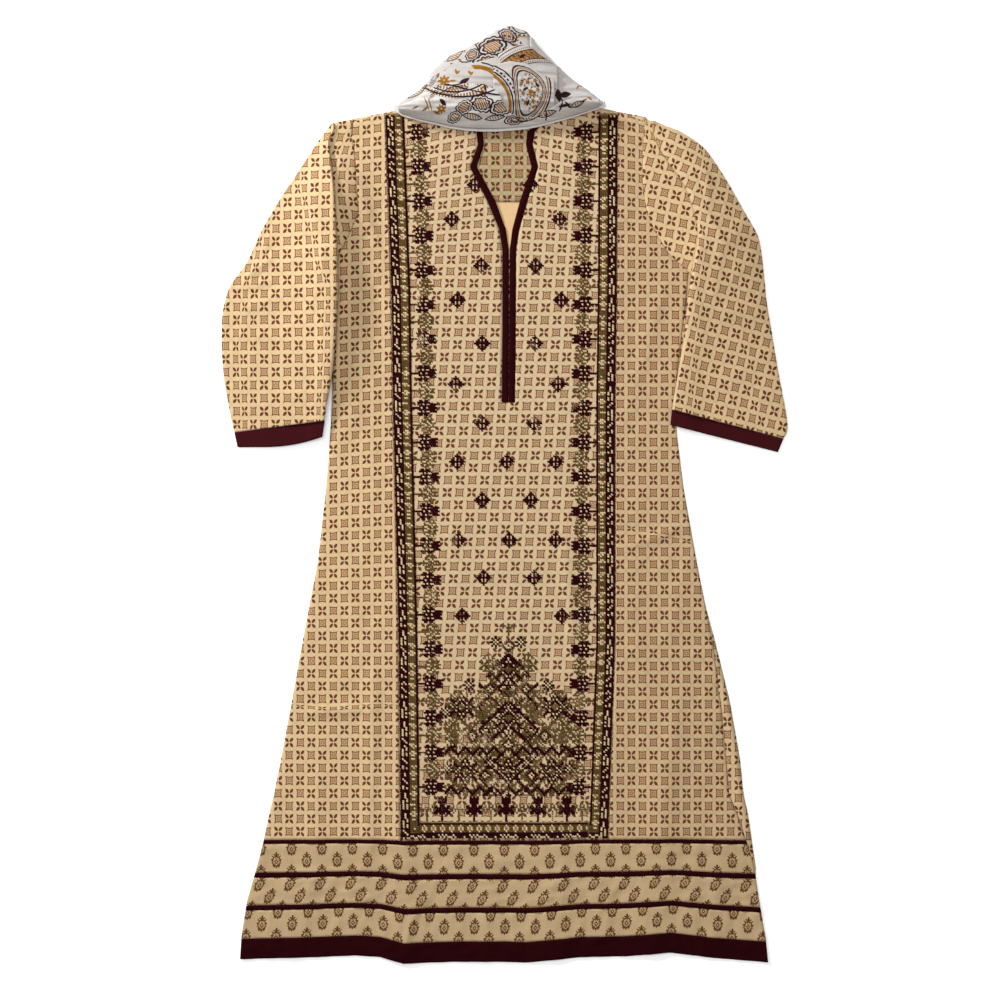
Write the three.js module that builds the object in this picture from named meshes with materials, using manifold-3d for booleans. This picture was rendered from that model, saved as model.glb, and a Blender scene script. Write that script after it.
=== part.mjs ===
// A kameez tunic laid flat on a surface, front up, with its dupatta scarf heaped over the neck.
// Millimetres. +Z up, +Y towards the neck, +X to the wearer's left. The cloth rests on z = 0.
import * as THREE from 'three';
import { mergeVertices } from 'three/addons/utils/BufferGeometryUtils.js';
import Module from 'manifold-3d';

// ---------------------------------------------------------------- driving dimensions
const CLOTH = 1.0;                 // thickness of one layer of cloth
const GAP = 0.3;                   // clearance at seams and between layers
const LAYER = CLOTH + GAP;         // rise from one layer to the next

const PANEL_FOOT = -432;           // where the printed panels end and the bands begin
const SLIT_FOOT = 115;             // bottom of the neck slit
const FACING_FOOT = 366;           // lower edge of the back neck facing
const FACING_HALF_WIDTH = 74;
const BORDER_WIDTH = 23;           // embroidered strip down each side of the centre panel
const BORDER_FOOT_HEIGHT = 20;     // embroidered strip across its foot
const OVER_BODY = 2 * LAYER + 0.3;  // lift of a sleeve where it lies on the body
const CORE_RISE = 24;              // height of the heaped scarf's hidden layers
const HEAP_LAYER = 2.2;            // rise from one showing stretch of the heap to the next
const GARMENT_CLEAR = 5.4;         // clear height over the garment's neck
const SHOULDER_CLEAR = 492;        // the heap reaches the floor beyond this
const NECK_TOP = 488;              // shoulder seam at the neck

const COLOURS = {
  print: 0xd9bb8c, panel: 0xdfc193, band: 0xd8bf95, maroon: 0x3c1118,
  border: 0x5a3a2c, facing: 0xb9a377, scarf: 0xded9d4, selvedge: 0xeceae6,
};

// ---------------------------------------------------------------- outlines
// Body edges: x of the left and right edge of the front at height y.
const BODY = [
  { y: -586, left: -331, right: 330 },
  { y: -554, left: -329, right: 327 },
  { y: -509, left: -322, right: 319 },
  { y: -464, left: -309, right: 312 },
  { y: -441, left: -303, right: 305 },
  { y: -404, left: -295, right: 293 },
  { y: -374, left: -288, right: 281 },
  { y: -324, left: -278, right: 277 },
  { y: -254, left: -265, right: 270 },
  { y: -182, left: -252, right: 260 },
  { y: -82, left: -233, right: 240 },
  { y: 8, left: -223, right: 224 },
  { y: 81, left: -217, right: 215 },
  { y: 138, left: -214, right: 216 },
  { y: 288, left: -224, right: 226 },
];

// Armhole seams from the underarm up to the shoulder.
const ARMHOLE = [
  { y: 288, left: -224, right: 226 },
  { y: 299, left: -206, right: 207 },
  { y: 324, left: -193, right: 191 },
  { y: 353, left: -181, right: 178 },
  { y: 388, left: -184, right: 173 },
  { y: 431, left: -187, right: 173 },
  { y: 452, left: -191, right: 174 },
  { y: 470, left: -189, right: 177 },
];

// How far the back panel stands out past the front at the right side slit.
const SLIT_SHOW = [
  { y: -586, out: -3 },
  { y: -480, out: 0 },
  { y: -444, out: 5 },
  { y: -374, out: 18 },
  { y: -332, out: 17 },
  { y: -266, out: 12 },
  { y: -182, out: 3 },
  { y: -140, out: 0 },
  { y: 288, out: 0 },
];

// Seams between the side panels and the centre panel.
const CENTRE = [
  { y: -432, left: -130, right: 130 },
  { y: -182, left: -133, right: 139 },
  { y: 118, left: -140, right: 139 },
  { y: 255, left: -142, right: 141 },
  { y: 480, left: -150, right: 142 },
];

// Neck binding: its seam on the panel (cut) and its folded edge at the opening (fold).
const NECK = [
  { y: 115, leftCut: -3.5, leftFold: 4.6, rightFold: 5.4, rightCut: 13 },
  { y: 210, leftCut: -2.5, leftFold: 5.3, rightFold: 6.2, rightCut: 14 },
  { y: 305, leftCut: -2.5, leftFold: 5.2, rightFold: 6.8, rightCut: 14.5 },
  { y: 331, leftCut: -6.5, leftFold: 1.5, rightFold: 10, rightCut: 18.5 },
  { y: 366, leftCut: -21, leftFold: -11.5, rightFold: 19.5, rightCut: 28.5 },
  { y: 409, leftCut: -43, leftFold: -35, rightFold: 34, rightCut: 42 },
  { y: 437, leftCut: -33, leftFold: -26, rightFold: 27, rightCut: 35 },
  { y: 453, leftCut: -35, leftFold: -27.5, rightFold: 29, rightCut: 38 },
  { y: 472, leftCut: -56, leftFold: -50, rightFold: 50, rightCut: 56 },
  { y: 488, leftCut: -95, leftFold: -90, rightFold: 90, rightCut: 95 },
];

// The hem's soft wave: how far a skirt line is lifted at x, in full at the hem.
const WAVE = [
  { x: -335, lift: 0 }, { x: -310, lift: 1 }, { x: -225, lift: 3 }, { x: -182, lift: 4 },
  { x: -125, lift: -4 }, { x: -60, lift: -3 }, { x: 0, lift: -3 }, { x: 27, lift: -4 },
  { x: 95, lift: 3 }, { x: 150, lift: 4 }, { x: 207, lift: 9 }, { x: 262, lift: 2 }, { x: 335, lift: -4 },
];

// Soft ridges of the front: a place, a lean from the length (degrees), half sizes and a rise.
const FOLDS = [
  { x: -128, y: -500, lean: 0, reach: 260, half: 20, rise: 2.2 },
  { x: 62, y: -510, lean: -3, reach: 230, half: 24, rise: 1.8 },
  { x: 190, y: -500, lean: 4, reach: 300, half: 26, rise: 2.6 },
  { x: -167, y: -330, lean: 2, reach: 190, half: 9, rise: 2.0 },
  { x: -205, y: -270, lean: 86, reach: 60, half: 9, rise: 1.8 },
  { x: 190, y: -52, lean: 70, reach: 55, half: 9, rise: 2.0 },
  { x: -190, y: 250, lean: -6, reach: 150, half: 14, rise: 1.0 },
];

// Rows across each sleeve, from the shoulder to the cuff. Each has a point on the outer fold, one on
// the inner fold over the body, the depth of the lap there and, down to the underarm, the height where
// it meets the armhole seam. Below, the seam runs just inside the inner fold.
const SLEEVE_LEFT = [
  { outerX: -221, outerY: 458, foldX: -213, foldY: 456, lap: 3, seamY: 462 },
  { outerX: -235, outerY: 439, foldX: -219, foldY: 440, lap: 5, seamY: 452 },
  { outerX: -254, outerY: 410, foldX: -216, foldY: 414, lap: 9, seamY: 431 },
  { outerX: -283, outerY: 366, foldX: -211, foldY: 374, lap: 11, seamY: 388 },
  { outerX: -304, outerY: 330, foldX: -209, foldY: 342, lap: 9, seamY: 353 },
  { outerX: -316, outerY: 303, foldX: -207.5, foldY: 317, lap: 7, seamY: 324 },
  { outerX: -325, outerY: 286, foldX: -207, foldY: 296, lap: 6, seamY: 299 },
  { outerX: -343, outerY: 261, foldX: -206, foldY: 262, lap: 5 },
  { outerX: -352, outerY: 231, foldX: -207, foldY: 233, lap: 5 },
  { outerX: -354, outerY: 193, foldX: -209, foldY: 196, lap: 5 },
  { outerX: -351, outerY: 146, foldX: -214, foldY: 149, lap: 5 },
  { outerX: -343, outerY: 100, foldX: -221, foldY: 112, lap: 5 },
  { outerX: -338, outerY: 78, foldX: -224, foldY: 92, lap: 5 },
];

const SLEEVE_RIGHT = [
  { outerX: 199, outerY: 458, foldX: 186, foldY: 452, lap: 2, seamY: 464 },
  { outerX: 222, outerY: 450, foldX: 191, foldY: 437, lap: 3, seamY: 452 },
  { outerX: 250, outerY: 433, foldX: 203, foldY: 416, lap: 4, seamY: 431 },
  { outerX: 277, outerY: 394, foldX: 223, foldY: 386, lap: 5, seamY: 388 },
  { outerX: 299, outerY: 355, foldX: 236, foldY: 352, lap: 6, seamY: 353 },
  { outerX: 316, outerY: 325, foldX: 241, foldY: 326, lap: 7, seamY: 324 },
  { outerX: 321, outerY: 304, foldX: 240, foldY: 304, lap: 7, seamY: 299 },
  { outerX: 325, outerY: 270, foldX: 235, foldY: 274, lap: 6 },
  { outerX: 328, outerY: 240, foldX: 228, foldY: 240, lap: 5 },
  { outerX: 334, outerY: 204, foldX: 224, foldY: 200, lap: 5 },
  { outerX: 342, outerY: 156, foldX: 216, foldY: 150, lap: 5 },
  { outerX: 354, outerY: 88, foldX: 211, foldY: 120, lap: 5 },
  { outerX: 349, outerY: 70, foldX: 209, foldY: 106, lap: 5 },
];

const CUFF_LEFT = [
  { outerX: -337.9, outerY: 77.7, foldX: -224, foldY: 91.7, lap: 5 },
  { outerX: -334, outerY: 59, foldX: -227, foldY: 72, lap: 5 },
];

const CUFF_RIGHT = [
  { outerX: 348.9, outerY: 69.7, foldX: 208.9, foldY: 105.7, lap: 5 },
  { outerX: 342, outerY: 53, foldX: 207, foldY: 87, lap: 5 },
];

// Outline of the heaped scarf: its far and near edge at x.
const HEAP = [
  { x: -139, far: 483, near: 481 }, { x: -127, far: 492, near: 473 }, { x: -106, far: 508, near: 467 },
  { x: -88, far: 531, near: 463 }, { x: -68, far: 548, near: 458 }, { x: -48, far: 557, near: 455 },
  { x: -28, far: 568, near: 454 }, { x: -10, far: 580, near: 454 }, { x: 7, far: 585.5, near: 455 },
  { x: 28, far: 578, near: 457 }, { x: 43, far: 558, near: 460 }, { x: 62, far: 538, near: 465 },
  { x: 84, far: 518, near: 471 }, { x: 105, far: 504, near: 478 }, { x: 126, far: 487, near: 485 },
];

// Stretches of the scarf that show. Each runs from x0 to x1, and lies between two shares of the
// heap's depth (0 near, 1 far) at its start and its end, on the given layer over the core.
const STRETCHES = [
  { name: 'dupatta_crown', x0: -93, x1: 57, near0: 0.5, near1: 0.52, far0: 1, far1: 1, layer: 0 },
  { name: 'dupatta_right_fall', x0: 32, x1: 122, near0: 0.3, near1: 0.3, far0: 1, far1: 1, layer: 1 },
  { name: 'dupatta_left_fold', x0: -132, x1: 4, near0: 0.3, near1: 0.3, far0: 0.9, far1: 0.66, layer: 2 },
  { name: 'dupatta_raised_band', x0: -8, x1: 66, near0: 0.46, near1: 0.5, far0: 0.7, far1: 0.95, layer: 3 },
  { name: 'dupatta_centre_fold', x0: -14, x1: 62, near0: 0.3, near1: 0.3, far0: 0.6, far1: 0.62, layer: 4 },
  { name: 'dupatta_near_lap', x0: -132, x1: 118, near0: 0.06, near1: 0.06, far0: 0.46, far1: 0.4, layer: 5 },
];

// ---------------------------------------------------------------- small tools

// Value of one column of a table at a place along another, straight between its rows.
function read(table, by, at, column) {
  let next = 1;
  while (next < table.length - 1 && table[next][by] < at) next += 1;
  const a = table[next - 1];
  const b = table[next];
  const share = THREE.MathUtils.clamp((at - a[by]) / (b[by] - a[by]), 0, 1);
  return a[column] + (b[column] - a[column]) * share;
}

const mix = (a, b, share) => a + (b - a) * share;
const smooth = (from, to, at) => THREE.MathUtils.smoothstep(at, from, to);
const range = (count) => Array.from({ length: count + 1 }, (_, i) => i / count);

const bodyEdge = (y, side) => read(y > 288 ? ARMHOLE : BODY, 'y', y, side);
const waveAt = (x, y) => read(WAVE, 'x', x, 'lift') * (1 - smooth(-586, -380, y));
const shoulderAt = (x) => NECK_TOP - 0.19 * Math.max(0, Math.abs(x) - 95);

// Height of the underside of the front at a point: one layer up, over the facing, with its folds.
function frontFloor(x, y) {
  let z = LAYER;
  const overFacing = smooth(FACING_FOOT - 34, FACING_FOOT - 6, y)
    * (1 - smooth(FACING_HALF_WIDTH + 4, FACING_HALF_WIDTH + 32, Math.abs(x)));
  z += LAYER * overFacing;
  for (const fold of FOLDS) {
    const lean = THREE.MathUtils.degToRad(fold.lean);
    const along = (x - fold.x) * Math.sin(lean) + (y - fold.y) * Math.cos(lean);
    const across = (x - fold.x) * Math.cos(lean) - (y - fold.y) * Math.sin(lean);
    const end = 1 - smooth(0.3, 1, Math.abs(along) / fold.reach);
    z += fold.rise * Math.exp(-((across / fold.half) ** 2)) * end;
  }
  return z;
}

// A closed wall of cloth from grids of paired points, upper face and lower face. Grids that share
// points are joined, and every open edge gets a rim.
function wall(grids) {
  const ids = new Map();
  const pairs = [];
  const idOf = (upper, lower) => {
    const key = [...upper.toArray(), ...lower.toArray()].map((n) => n.toFixed(3)).join(' ');
    if (!ids.has(key)) {
      ids.set(key, pairs.length);
      pairs.push([upper, lower]);
    }
    return ids.get(key);
  };
  const cells = [];
  for (const { upper, lower } of grids) {
    for (let i = 0; i < upper.length - 1; i += 1) {
      for (let j = 0; j < upper[i].length - 1; j += 1) {
        const corners = [[i, j], [i, j + 1], [i + 1, j + 1], [i + 1, j]];
        cells.push(corners.map(([r, c]) => idOf(upper[r][c], lower[r][c])));
      }
    }
  }
  const triangles = [];
  const add = (a, b, c) => {
    if (a !== b && b !== c && c !== a) triangles.push([a, b, c]);
  };
  const edges = new Set();
  for (const [a, b, c, d] of cells) {
    add(2 * a, 2 * b, 2 * c);
    add(2 * a, 2 * c, 2 * d);
    add(2 * c + 1, 2 * b + 1, 2 * a + 1);
    add(2 * d + 1, 2 * c + 1, 2 * a + 1);
    [[a, b], [b, c], [c, d], [d, a]].forEach(([from, to]) => edges.add(`${from} ${to}`));
  }
  for (const edge of edges) {
    const [from, to] = edge.split(' ').map(Number);
    if (from !== to && !edges.has(`${to} ${from}`)) {
      add(2 * to, 2 * from, 2 * from + 1);
      add(2 * to, 2 * from + 1, 2 * to + 1);
    }
  }
  const points = pairs.flat();
  const volume = triangles.reduce((sum, [a, b, c]) => (
    sum + points[a].dot(points[b].clone().cross(points[c]))), 0);
  const order = volume > 0 ? [0, 1, 2] : [0, 2, 1];
  const geometry = new THREE.BufferGeometry().setFromPoints(points);
  geometry.setIndex(triangles.flatMap((corner) => order.map((k) => corner[k])));
  return geometry;
}

// Both faces of a flat-lying sheet whose underside follows floorAt.
function lay(rows, floorAt, thickness = CLOTH) {
  const lift = (extra) => rows.map((row) => row.map(([x, y]) => (
    new THREE.Vector3(x, y, floorAt(x, y) + extra))));
  return { upper: lift(thickness), lower: lift(0) };
}

// Rows of points at heights ys, spread in the given shares between two edges that depend on y.
function rowsBetween(ys, shares, leftAt, rightAt) {
  return ys.map((y) => shares.map((share) => [mix(leftAt(y), rightAt(y), share), y]));
}

const garment = new THREE.Group();

function piece(name, geometry, colour, roughness = 0.9) {
  const material = new THREE.MeshStandardMaterial({ color: colour, roughness, metalness: 0 });
  const mesh = new THREE.Mesh(geometry, material);
  mesh.name = name;
  garment.add(mesh);
}

// ---------------------------------------------------------------- back panel and facing
const SIDE_ROWS = [...BODY.filter((row) => row.y > PANEL_FOOT), ...ARMHOLE.slice(1, -1)]
  .map((row) => row.y);
const topRow = (leftX, rightX, shares) => shares.map((share) => {
  const x = mix(leftX, rightX, share);
  return [x, shoulderAt(x)];
});

{
  const shares = range(10);
  const hem = (row) => row.map(([x, y]) => [x, y + 3 + waveAt(x, y)]);
  const ys = [-578, -509, -464, ...SIDE_ROWS];
  const right = (y) => bodyEdge(y, 'right') + (y > 288 ? 0 : read(SLIT_SHOW, 'y', y, 'out'));
  const left = (y) => bodyEdge(y, 'left') + (y < -470 ? 2 : 0);
  const rows = rowsBetween(ys, shares, left, right);
  rows[0] = hem(rows[0]);
  const nape = topRow(-189, 177, shares).map(([x, y]) => [x, y - 12 * (1 - smooth(40, 96, Math.abs(x)))]);
  rows.push(nape);
  piece('back_panel', wall([lay(rows, () => 0)]), COLOURS.print);
}

{
  const ys = [FACING_FOOT, 400, 440, 468];
  const rows = rowsBetween(ys, range(6), () => -FACING_HALF_WIDTH, () => FACING_HALF_WIDTH);
  piece('back_neck_facing', wall([lay(rows, () => LAYER)]), COLOURS.facing);
}

// ---------------------------------------------------------------- front panels
const centreEdge = (y, side) => read(CENTRE, 'y', y, side);
const footRow = (row) => row.map(([x]) => [x, PANEL_FOOT + waveAt(x, PANEL_FOOT)]);

for (const side of ['left', 'right']) {
  const outward = side === 'left' ? -1 : 1;
  const seam = (y) => centreEdge(y, side) + outward * GAP;
  const edge = (y) => bodyEdge(y, side);
  const shares = range(5);
  const rows = [
    footRow(rowsBetween([PANEL_FOOT], shares, seam, edge)[0]),
    ...rowsBetween(SIDE_ROWS, shares, seam, edge),
    topRow(seam(480), outward > 0 ? 177 : -189, shares),
  ];
  piece(`front_side_panel_${side}`, wall([lay(rows, frontFloor)]), COLOURS.print);
}

// One half of the centre panel: rows of points from its seam, by way of the border's inner edge, to
// the given line. The border strip is made from its first two columns.
function centreHalf(side, rows) {
  const inward = side === 'left' ? 1 : -1;
  return rows.map(({ y, cut, drop = 0 }) => {
    const seam = centreEdge(y - drop, side);
    const borderEnd = seam + inward * (BORDER_WIDTH + 1);
    const inner = range(4).map((share) => (
      [mix(borderEnd, cut - inward * GAP, share), y - drop * (1 - share)]));
    return [[seam, y - drop], ...inner];
  });
}

const FOOT_TOP = PANEL_FOOT + BORDER_FOOT_HEIGHT + 3;
const LOWER_YS = [PANEL_FOOT, FOOT_TOP, -374, -324, -254, -182, -82, 8, SLIT_FOOT];
const halves = {};

for (const side of ['left', 'right']) {
  const column = `${side}Cut`;
  const shoulderDrop = NECK_TOP - shoulderAt(centreEdge(480, side));
  const below = centreHalf(side, LOWER_YS.map((y) => ({ y, cut: NECK[0][column] })));
  const above = centreHalf(side, NECK.map((row) => ({
    y: row.y, cut: row[column], drop: shoulderDrop * (row.y - SLIT_FOOT) / (NECK_TOP - SLIT_FOOT),
  })));
  halves[side] = { below: below.map((row) => row.map(([x, y]) => [x, y + waveAt(x, y)])), above };
}

{
  const across = halves.left.below.map((row, i) => [...row, ...[...halves.right.below[i]].reverse()]);
  const right = halves.right.above.map((row) => [...row].reverse());
  const grids = [across, halves.left.above, right];
  piece('front_centre_panel', wall(grids.map((rows) => lay(rows, frontFloor))), COLOURS.panel);
}

// ---------------------------------------------------------------- neck binding
for (const side of ['left', 'right']) {
  const rows = NECK.map((row) => {
    const cut = row[`${side}Cut`];
    const fold = row[`${side}Fold`];
    return [cut, mix(cut, fold, 0.5), fold].map((x) => [x, row.y + GAP]);
  });
  piece(`neck_binding_${side}`, wall([lay(rows, frontFloor, CLOTH + 0.8)]), COLOURS.maroon, 0.8);
}

// ---------------------------------------------------------------- embroidered border
const onFront = (x, y) => frontFloor(x, y) + LAYER;

for (const side of ['left', 'right']) {
  const inward = side === 'left' ? 1 : -1;
  const { below, above } = halves[side];
  const strip = [...below, ...above.slice(1, -1)].map(([[x0, y0], [x1, y1]]) => (
    [[x0 + inward, y0], [x1, y1]]));
  strip[0] = strip[0].map(([x, y]) => [x, y + 3]);
  piece(`embroidered_border_${side}`, wall([lay(strip, onFront)]), COLOURS.border);
}

{
  const between = (i) => {
    const row = [...halves.left.below[i].slice(1), ...[...halves.right.below[i].slice(1)].reverse()];
    row[0] = [row[0][0] + GAP, row[0][1]];
    row[row.length - 1] = [row[row.length - 1][0] - GAP, row[row.length - 1][1]];
    return row;
  };
  const rows = [between(0).map(([x, y]) => [x, y + 3]), between(1)];
  piece('embroidered_border_foot', wall([lay(rows, onFront)]), COLOURS.border);
}

// ---------------------------------------------------------------- stripes and bands of the skirt end
const SKIRT_LINES = [
  { name: 'stripe_1', top: -432, foot: -437, colour: COLOURS.maroon },
  { name: 'band_1', top: -437, foot: -473, colour: COLOURS.band },
  { name: 'stripe_2', top: -473, foot: -479.5, colour: COLOURS.maroon },
  { name: 'band_2', top: -479.5, foot: -514, colour: COLOURS.band },
  { name: 'stripe_3', top: -514, foot: -520.5, colour: COLOURS.maroon },
  { name: 'band_3', top: -520.5, foot: -556, colour: COLOURS.band },
  { name: 'hem_band', top: -556, foot: -581.5, colour: COLOURS.maroon },
];

for (const line of SKIRT_LINES) {
  const rows = [line.foot, line.top - GAP].map((y) => range(22).map((share) => {
    const x = mix(bodyEdge(y, 'left'), bodyEdge(y, 'right'), share);
    return [x, y + waveAt(x, y)];
  }));
  piece(`front_${line.name}`, wall([lay(rows, frontFloor)]), line.colour);
}

// ---------------------------------------------------------------- sleeves and cuffs

// Offset of a path in its own plane, mitred at the corners.
function offsetPath(path, distance) {
  const normals = path.slice(1).map((point, i) => {
    const run = point.clone().sub(path[i]).normalize();
    return new THREE.Vector2(-run.y, run.x);
  });
  return path.map((point, i) => {
    const before = normals[Math.max(0, i - 1)];
    const after = normals[Math.min(normals.length - 1, i)];
    const middle = before.clone().add(after).normalize();
    return point.clone().addScaledVector(middle, distance / Math.max(0.5, middle.dot(before)));
  });
}

// One section of a folded sleeve, as distance from the outer fold and height. It starts at the back
// seam, runs under to the outer fold, over the top to the inner fold, laps back and ends at the
// front seam.
function sleeveSection(width, seam, lap, underAt) {
  const turn = LAYER / 2;
  const at = (s, layer) => new THREE.Vector2(s, CLOTH / 2 + layer * LAYER + underAt(s));
  const back = [0.92, 0.8, 0.6, 0.25].map((share) => at(width * share, 0));
  const outer = [at(turn, 0), at(0, 0.5), at(turn, 1)];
  const top = [0.25, 0.6, 0.8, 0.92].map((share) => at(width * share, mix(1, 3, smooth(0, 0.75, share))));
  const inner = [at(width - turn, 3), at(width, 2.5), at(width - turn, 2)];
  const lapEnd = width - turn - lap;
  const tuck = [at(lapEnd + turn, 2), at(lapEnd, 1.5), at(lapEnd + turn, 1)];
  return [at(seam, 0), ...back, ...outer, ...top, ...inner, ...tuck, at(seam, 1)];
}

function sleeve(rows, side) {
  const inward = side === 'left' ? 1 : -1;
  const sections = rows.map((row) => {
    const outer = new THREE.Vector2(row.outerX, row.outerY);
    const inner = new THREE.Vector2(row.foldX, row.foldY);
    const width = inner.distanceTo(outer);
    const across = inner.clone().sub(outer).normalize();
    const atArmhole = row.seamY !== undefined;
    const seam = atArmhole
      ? new THREE.Vector2(bodyEdge(row.seamY, side) - inward * GAP, row.seamY)
      : inner.clone().addScaledVector(across, -2);
    const pointAt = (s) => {
      if (!atArmhole || s <= width) return outer.clone().addScaledVector(across, s);
      return inner.clone().lerp(seam, (s - width) / inner.distanceTo(seam));
    };
    const seamAt = atArmhole ? width + inner.distanceTo(seam) : width - 2;
    const underAt = (s) => {
      const point = pointAt(s);
      if (point.y > 306) return 0;
      const overBody = inward * (point.x - bodyEdge(Math.min(point.y, 288), side));
      return OVER_BODY * smooth(-34, -6, overBody);
    };
    const path = sleeveSection(width, seamAt, row.lap, underAt);
    return [CLOTH / 2, -CLOTH / 2].map((distance) => offsetPath(path, distance).map((point) => {
      const flat = pointAt(point.x);
      return new THREE.Vector3(flat.x, flat.y, point.y);
    }));
  });
  return wall([{ upper: sections.map((pair) => pair[0]), lower: sections.map((pair) => pair[1]) }]);
}

piece('sleeve_left', sleeve(SLEEVE_LEFT, 'left'), COLOURS.print);
piece('sleeve_right', sleeve(SLEEVE_RIGHT, 'right'), COLOURS.print);
piece('cuff_left', sleeve(CUFF_LEFT, 'left'), COLOURS.maroon, 0.8);
piece('cuff_right', sleeve(CUFF_RIGHT, 'right'), COLOURS.maroon, 0.8);

// ---------------------------------------------------------------- dupatta
const heapNear = (x) => read(HEAP, 'x', x, 'near');
const heapFar = (x) => read(HEAP, 'x', x, 'far');

// Height of the heap's dome at x and a share of its depth.
function heapTop(x, share) {
  const length = Math.sin(Math.PI * THREE.MathUtils.clamp((x + 139) / 265, 0, 1));
  const depth = Math.sin(Math.PI * THREE.MathUtils.clamp(share, 0, 1));
  return GARMENT_CLEAR + CORE_RISE * Math.max(0, length) ** 0.6 * Math.max(0, depth) ** 0.7;
}

const heapPoint = (x, share, z) => new THREE.Vector3(x, mix(heapNear(x), heapFar(x), share), z);

// The rounded core stands on the floor beyond the shoulders, and is cut away over the garment.
{
  const wasm = await Module();
  wasm.setup();
  const solidOf = (geometry) => {
    const vertProperties = Float32Array.from(geometry.attributes.position.array);
    const triVerts = Uint32Array.from(geometry.index.array);
    return new wasm.Manifold(new wasm.Mesh({ numProp: 3, vertProperties, triVerts }));
  };
  const columns = range(12).map((share) => mix(-112, 100, share));
  const inside = (x, step) => {
    const depth = heapFar(x) - heapNear(x);
    return mix(8 / depth, 1 - 6 / depth, step);
  };
  const face = (heightAt) => range(8).map((step) => columns.map((x) => (
    heapPoint(x, inside(x, step), heightAt(x, inside(x, step))))));
  const upper = face((x, share) => heapTop(x, share) - 2.5);
  const lower = face(() => 0);
  const reach = 400;
  const overGarment = [[-reach, 0], [reach, 0], [reach, SHOULDER_CLEAR], [-reach, SHOULDER_CLEAR]];
  const outline = new THREE.Shape(overGarment.map(([x, y]) => new THREE.Vector2(x, y)));
  const cutter = new THREE.ExtrudeGeometry(outline, { depth: GARMENT_CLEAR + 1, bevelEnabled: false });
  cutter.translate(0, 0, -1);
  cutter.deleteAttribute('normal');
  cutter.deleteAttribute('uv');
  const core = solidOf(wall([{ upper, lower }])).subtract(solidOf(mergeVertices(cutter))).getMesh();
  const geometry = new THREE.BufferGeometry();
  geometry.setAttribute('position', new THREE.BufferAttribute(core.vertProperties, 3));
  geometry.setIndex(new THREE.BufferAttribute(core.triVerts, 1));
  piece('dupatta_core', geometry, COLOURS.scarf);
}

for (const stretch of STRETCHES) {
  const rows = (extra) => range(6).map((depth) => range(12).map((run) => {
    const x = mix(stretch.x0, stretch.x1, run);
    const near = mix(stretch.near0, stretch.near1, run);
    const far = mix(stretch.far0, stretch.far1, run);
    const share = mix(near, far, depth);
    const rise = GAP + stretch.layer * HEAP_LAYER * smooth(-0.08, 0.3, share);
    return heapPoint(x, share, heapTop(x, share) + rise + extra);
  }));
  piece(stretch.name, wall([{ upper: rows(CLOTH), lower: rows(0) }]), COLOURS.scarf);
}

// White selvedge along the near edge, from tip to tip.
{
  const rows = (extra) => [-1, 2.5, 6].map((out) => HEAP.map(({ x, near }) => (
    new THREE.Vector3(x, near + out, GARMENT_CLEAR + extra))));
  piece('dupatta_selvedge', wall([{ upper: rows(CLOTH), lower: rows(0) }]), COLOURS.selvedge);
}

export default garment;
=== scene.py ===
# %% [markdown]
# A printed cotton kameez tunic laid flat, front up, with its dupatta scarf heaped over the neck.
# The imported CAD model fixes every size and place. Each piece of cloth is made here again as a thin
# shell on its solid's form, with the creases, the print, the weave and the embroidery of the real one.

import math
from functools import partialmethod

import bpy
import numpy as np
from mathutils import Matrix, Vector


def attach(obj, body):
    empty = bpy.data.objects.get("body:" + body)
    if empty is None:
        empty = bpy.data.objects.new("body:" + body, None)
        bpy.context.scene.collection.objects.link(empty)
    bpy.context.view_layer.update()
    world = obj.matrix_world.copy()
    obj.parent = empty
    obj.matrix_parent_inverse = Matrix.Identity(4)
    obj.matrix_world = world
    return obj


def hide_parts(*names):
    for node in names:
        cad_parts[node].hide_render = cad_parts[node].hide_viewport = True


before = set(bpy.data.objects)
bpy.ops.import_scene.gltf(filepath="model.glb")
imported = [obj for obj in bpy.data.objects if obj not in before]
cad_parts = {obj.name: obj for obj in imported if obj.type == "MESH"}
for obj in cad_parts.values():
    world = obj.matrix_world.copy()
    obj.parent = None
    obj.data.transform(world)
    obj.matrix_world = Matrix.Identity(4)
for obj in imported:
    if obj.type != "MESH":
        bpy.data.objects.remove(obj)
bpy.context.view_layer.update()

MM = 0.001
SIDES = ("left", "right")
INWARD = (1, -1)  # towards the middle of the tunic, from its left side and from its right side
scene = bpy.context.scene

# %% [markdown]
# The camera looks straight down on the laid cloth through a long lens, so the sheet keeps its true
# outline. The frame is 1250 mm wide where the cloth lies.

# %% Camera
FRAME_WIDTH = 1250 * MM
LENS = 70
SENSOR = 36
CLOTH_LEVEL = 3 * MM
FRAME_X, FRAME_Y = -5.6 * MM, -6.9 * MM

camera_data = bpy.data.cameras.new("camera")
camera_data.lens = LENS
camera_data.sensor_width = SENSOR
camera = bpy.data.objects.new("camera", camera_data)
camera.location = (FRAME_X, FRAME_Y, CLOTH_LEVEL + FRAME_WIDTH * LENS / SENSOR)
camera.rotation_euler = (0, 0, 0)
scene.collection.objects.link(camera)
scene.camera = camera
print("camera height", round(camera.location.z, 3))

# %% [markdown]
# A plain pale floor and soft studio light. A broad lamp low on the left models the folds, as a window
# beside a cutting table would, and a large overhead lamp fills the rest.

# %% Floor and lights
scene.view_settings.view_transform = "Standard"


def studio_lamp(name, place, aim, size, power):
    """A square soft lamp that faces a point on the cloth."""
    data = bpy.data.lights.new(name, "AREA")
    data.shape = "SQUARE"
    data.size = size
    data.energy = power
    lamp = bpy.data.objects.new(name, data)
    lamp.location = place
    lamp.rotation_euler = (Vector(aim) - Vector(place)).to_track_quat("-Z", "Y").to_euler()
    scene.collection.objects.link(lamp)


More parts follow.
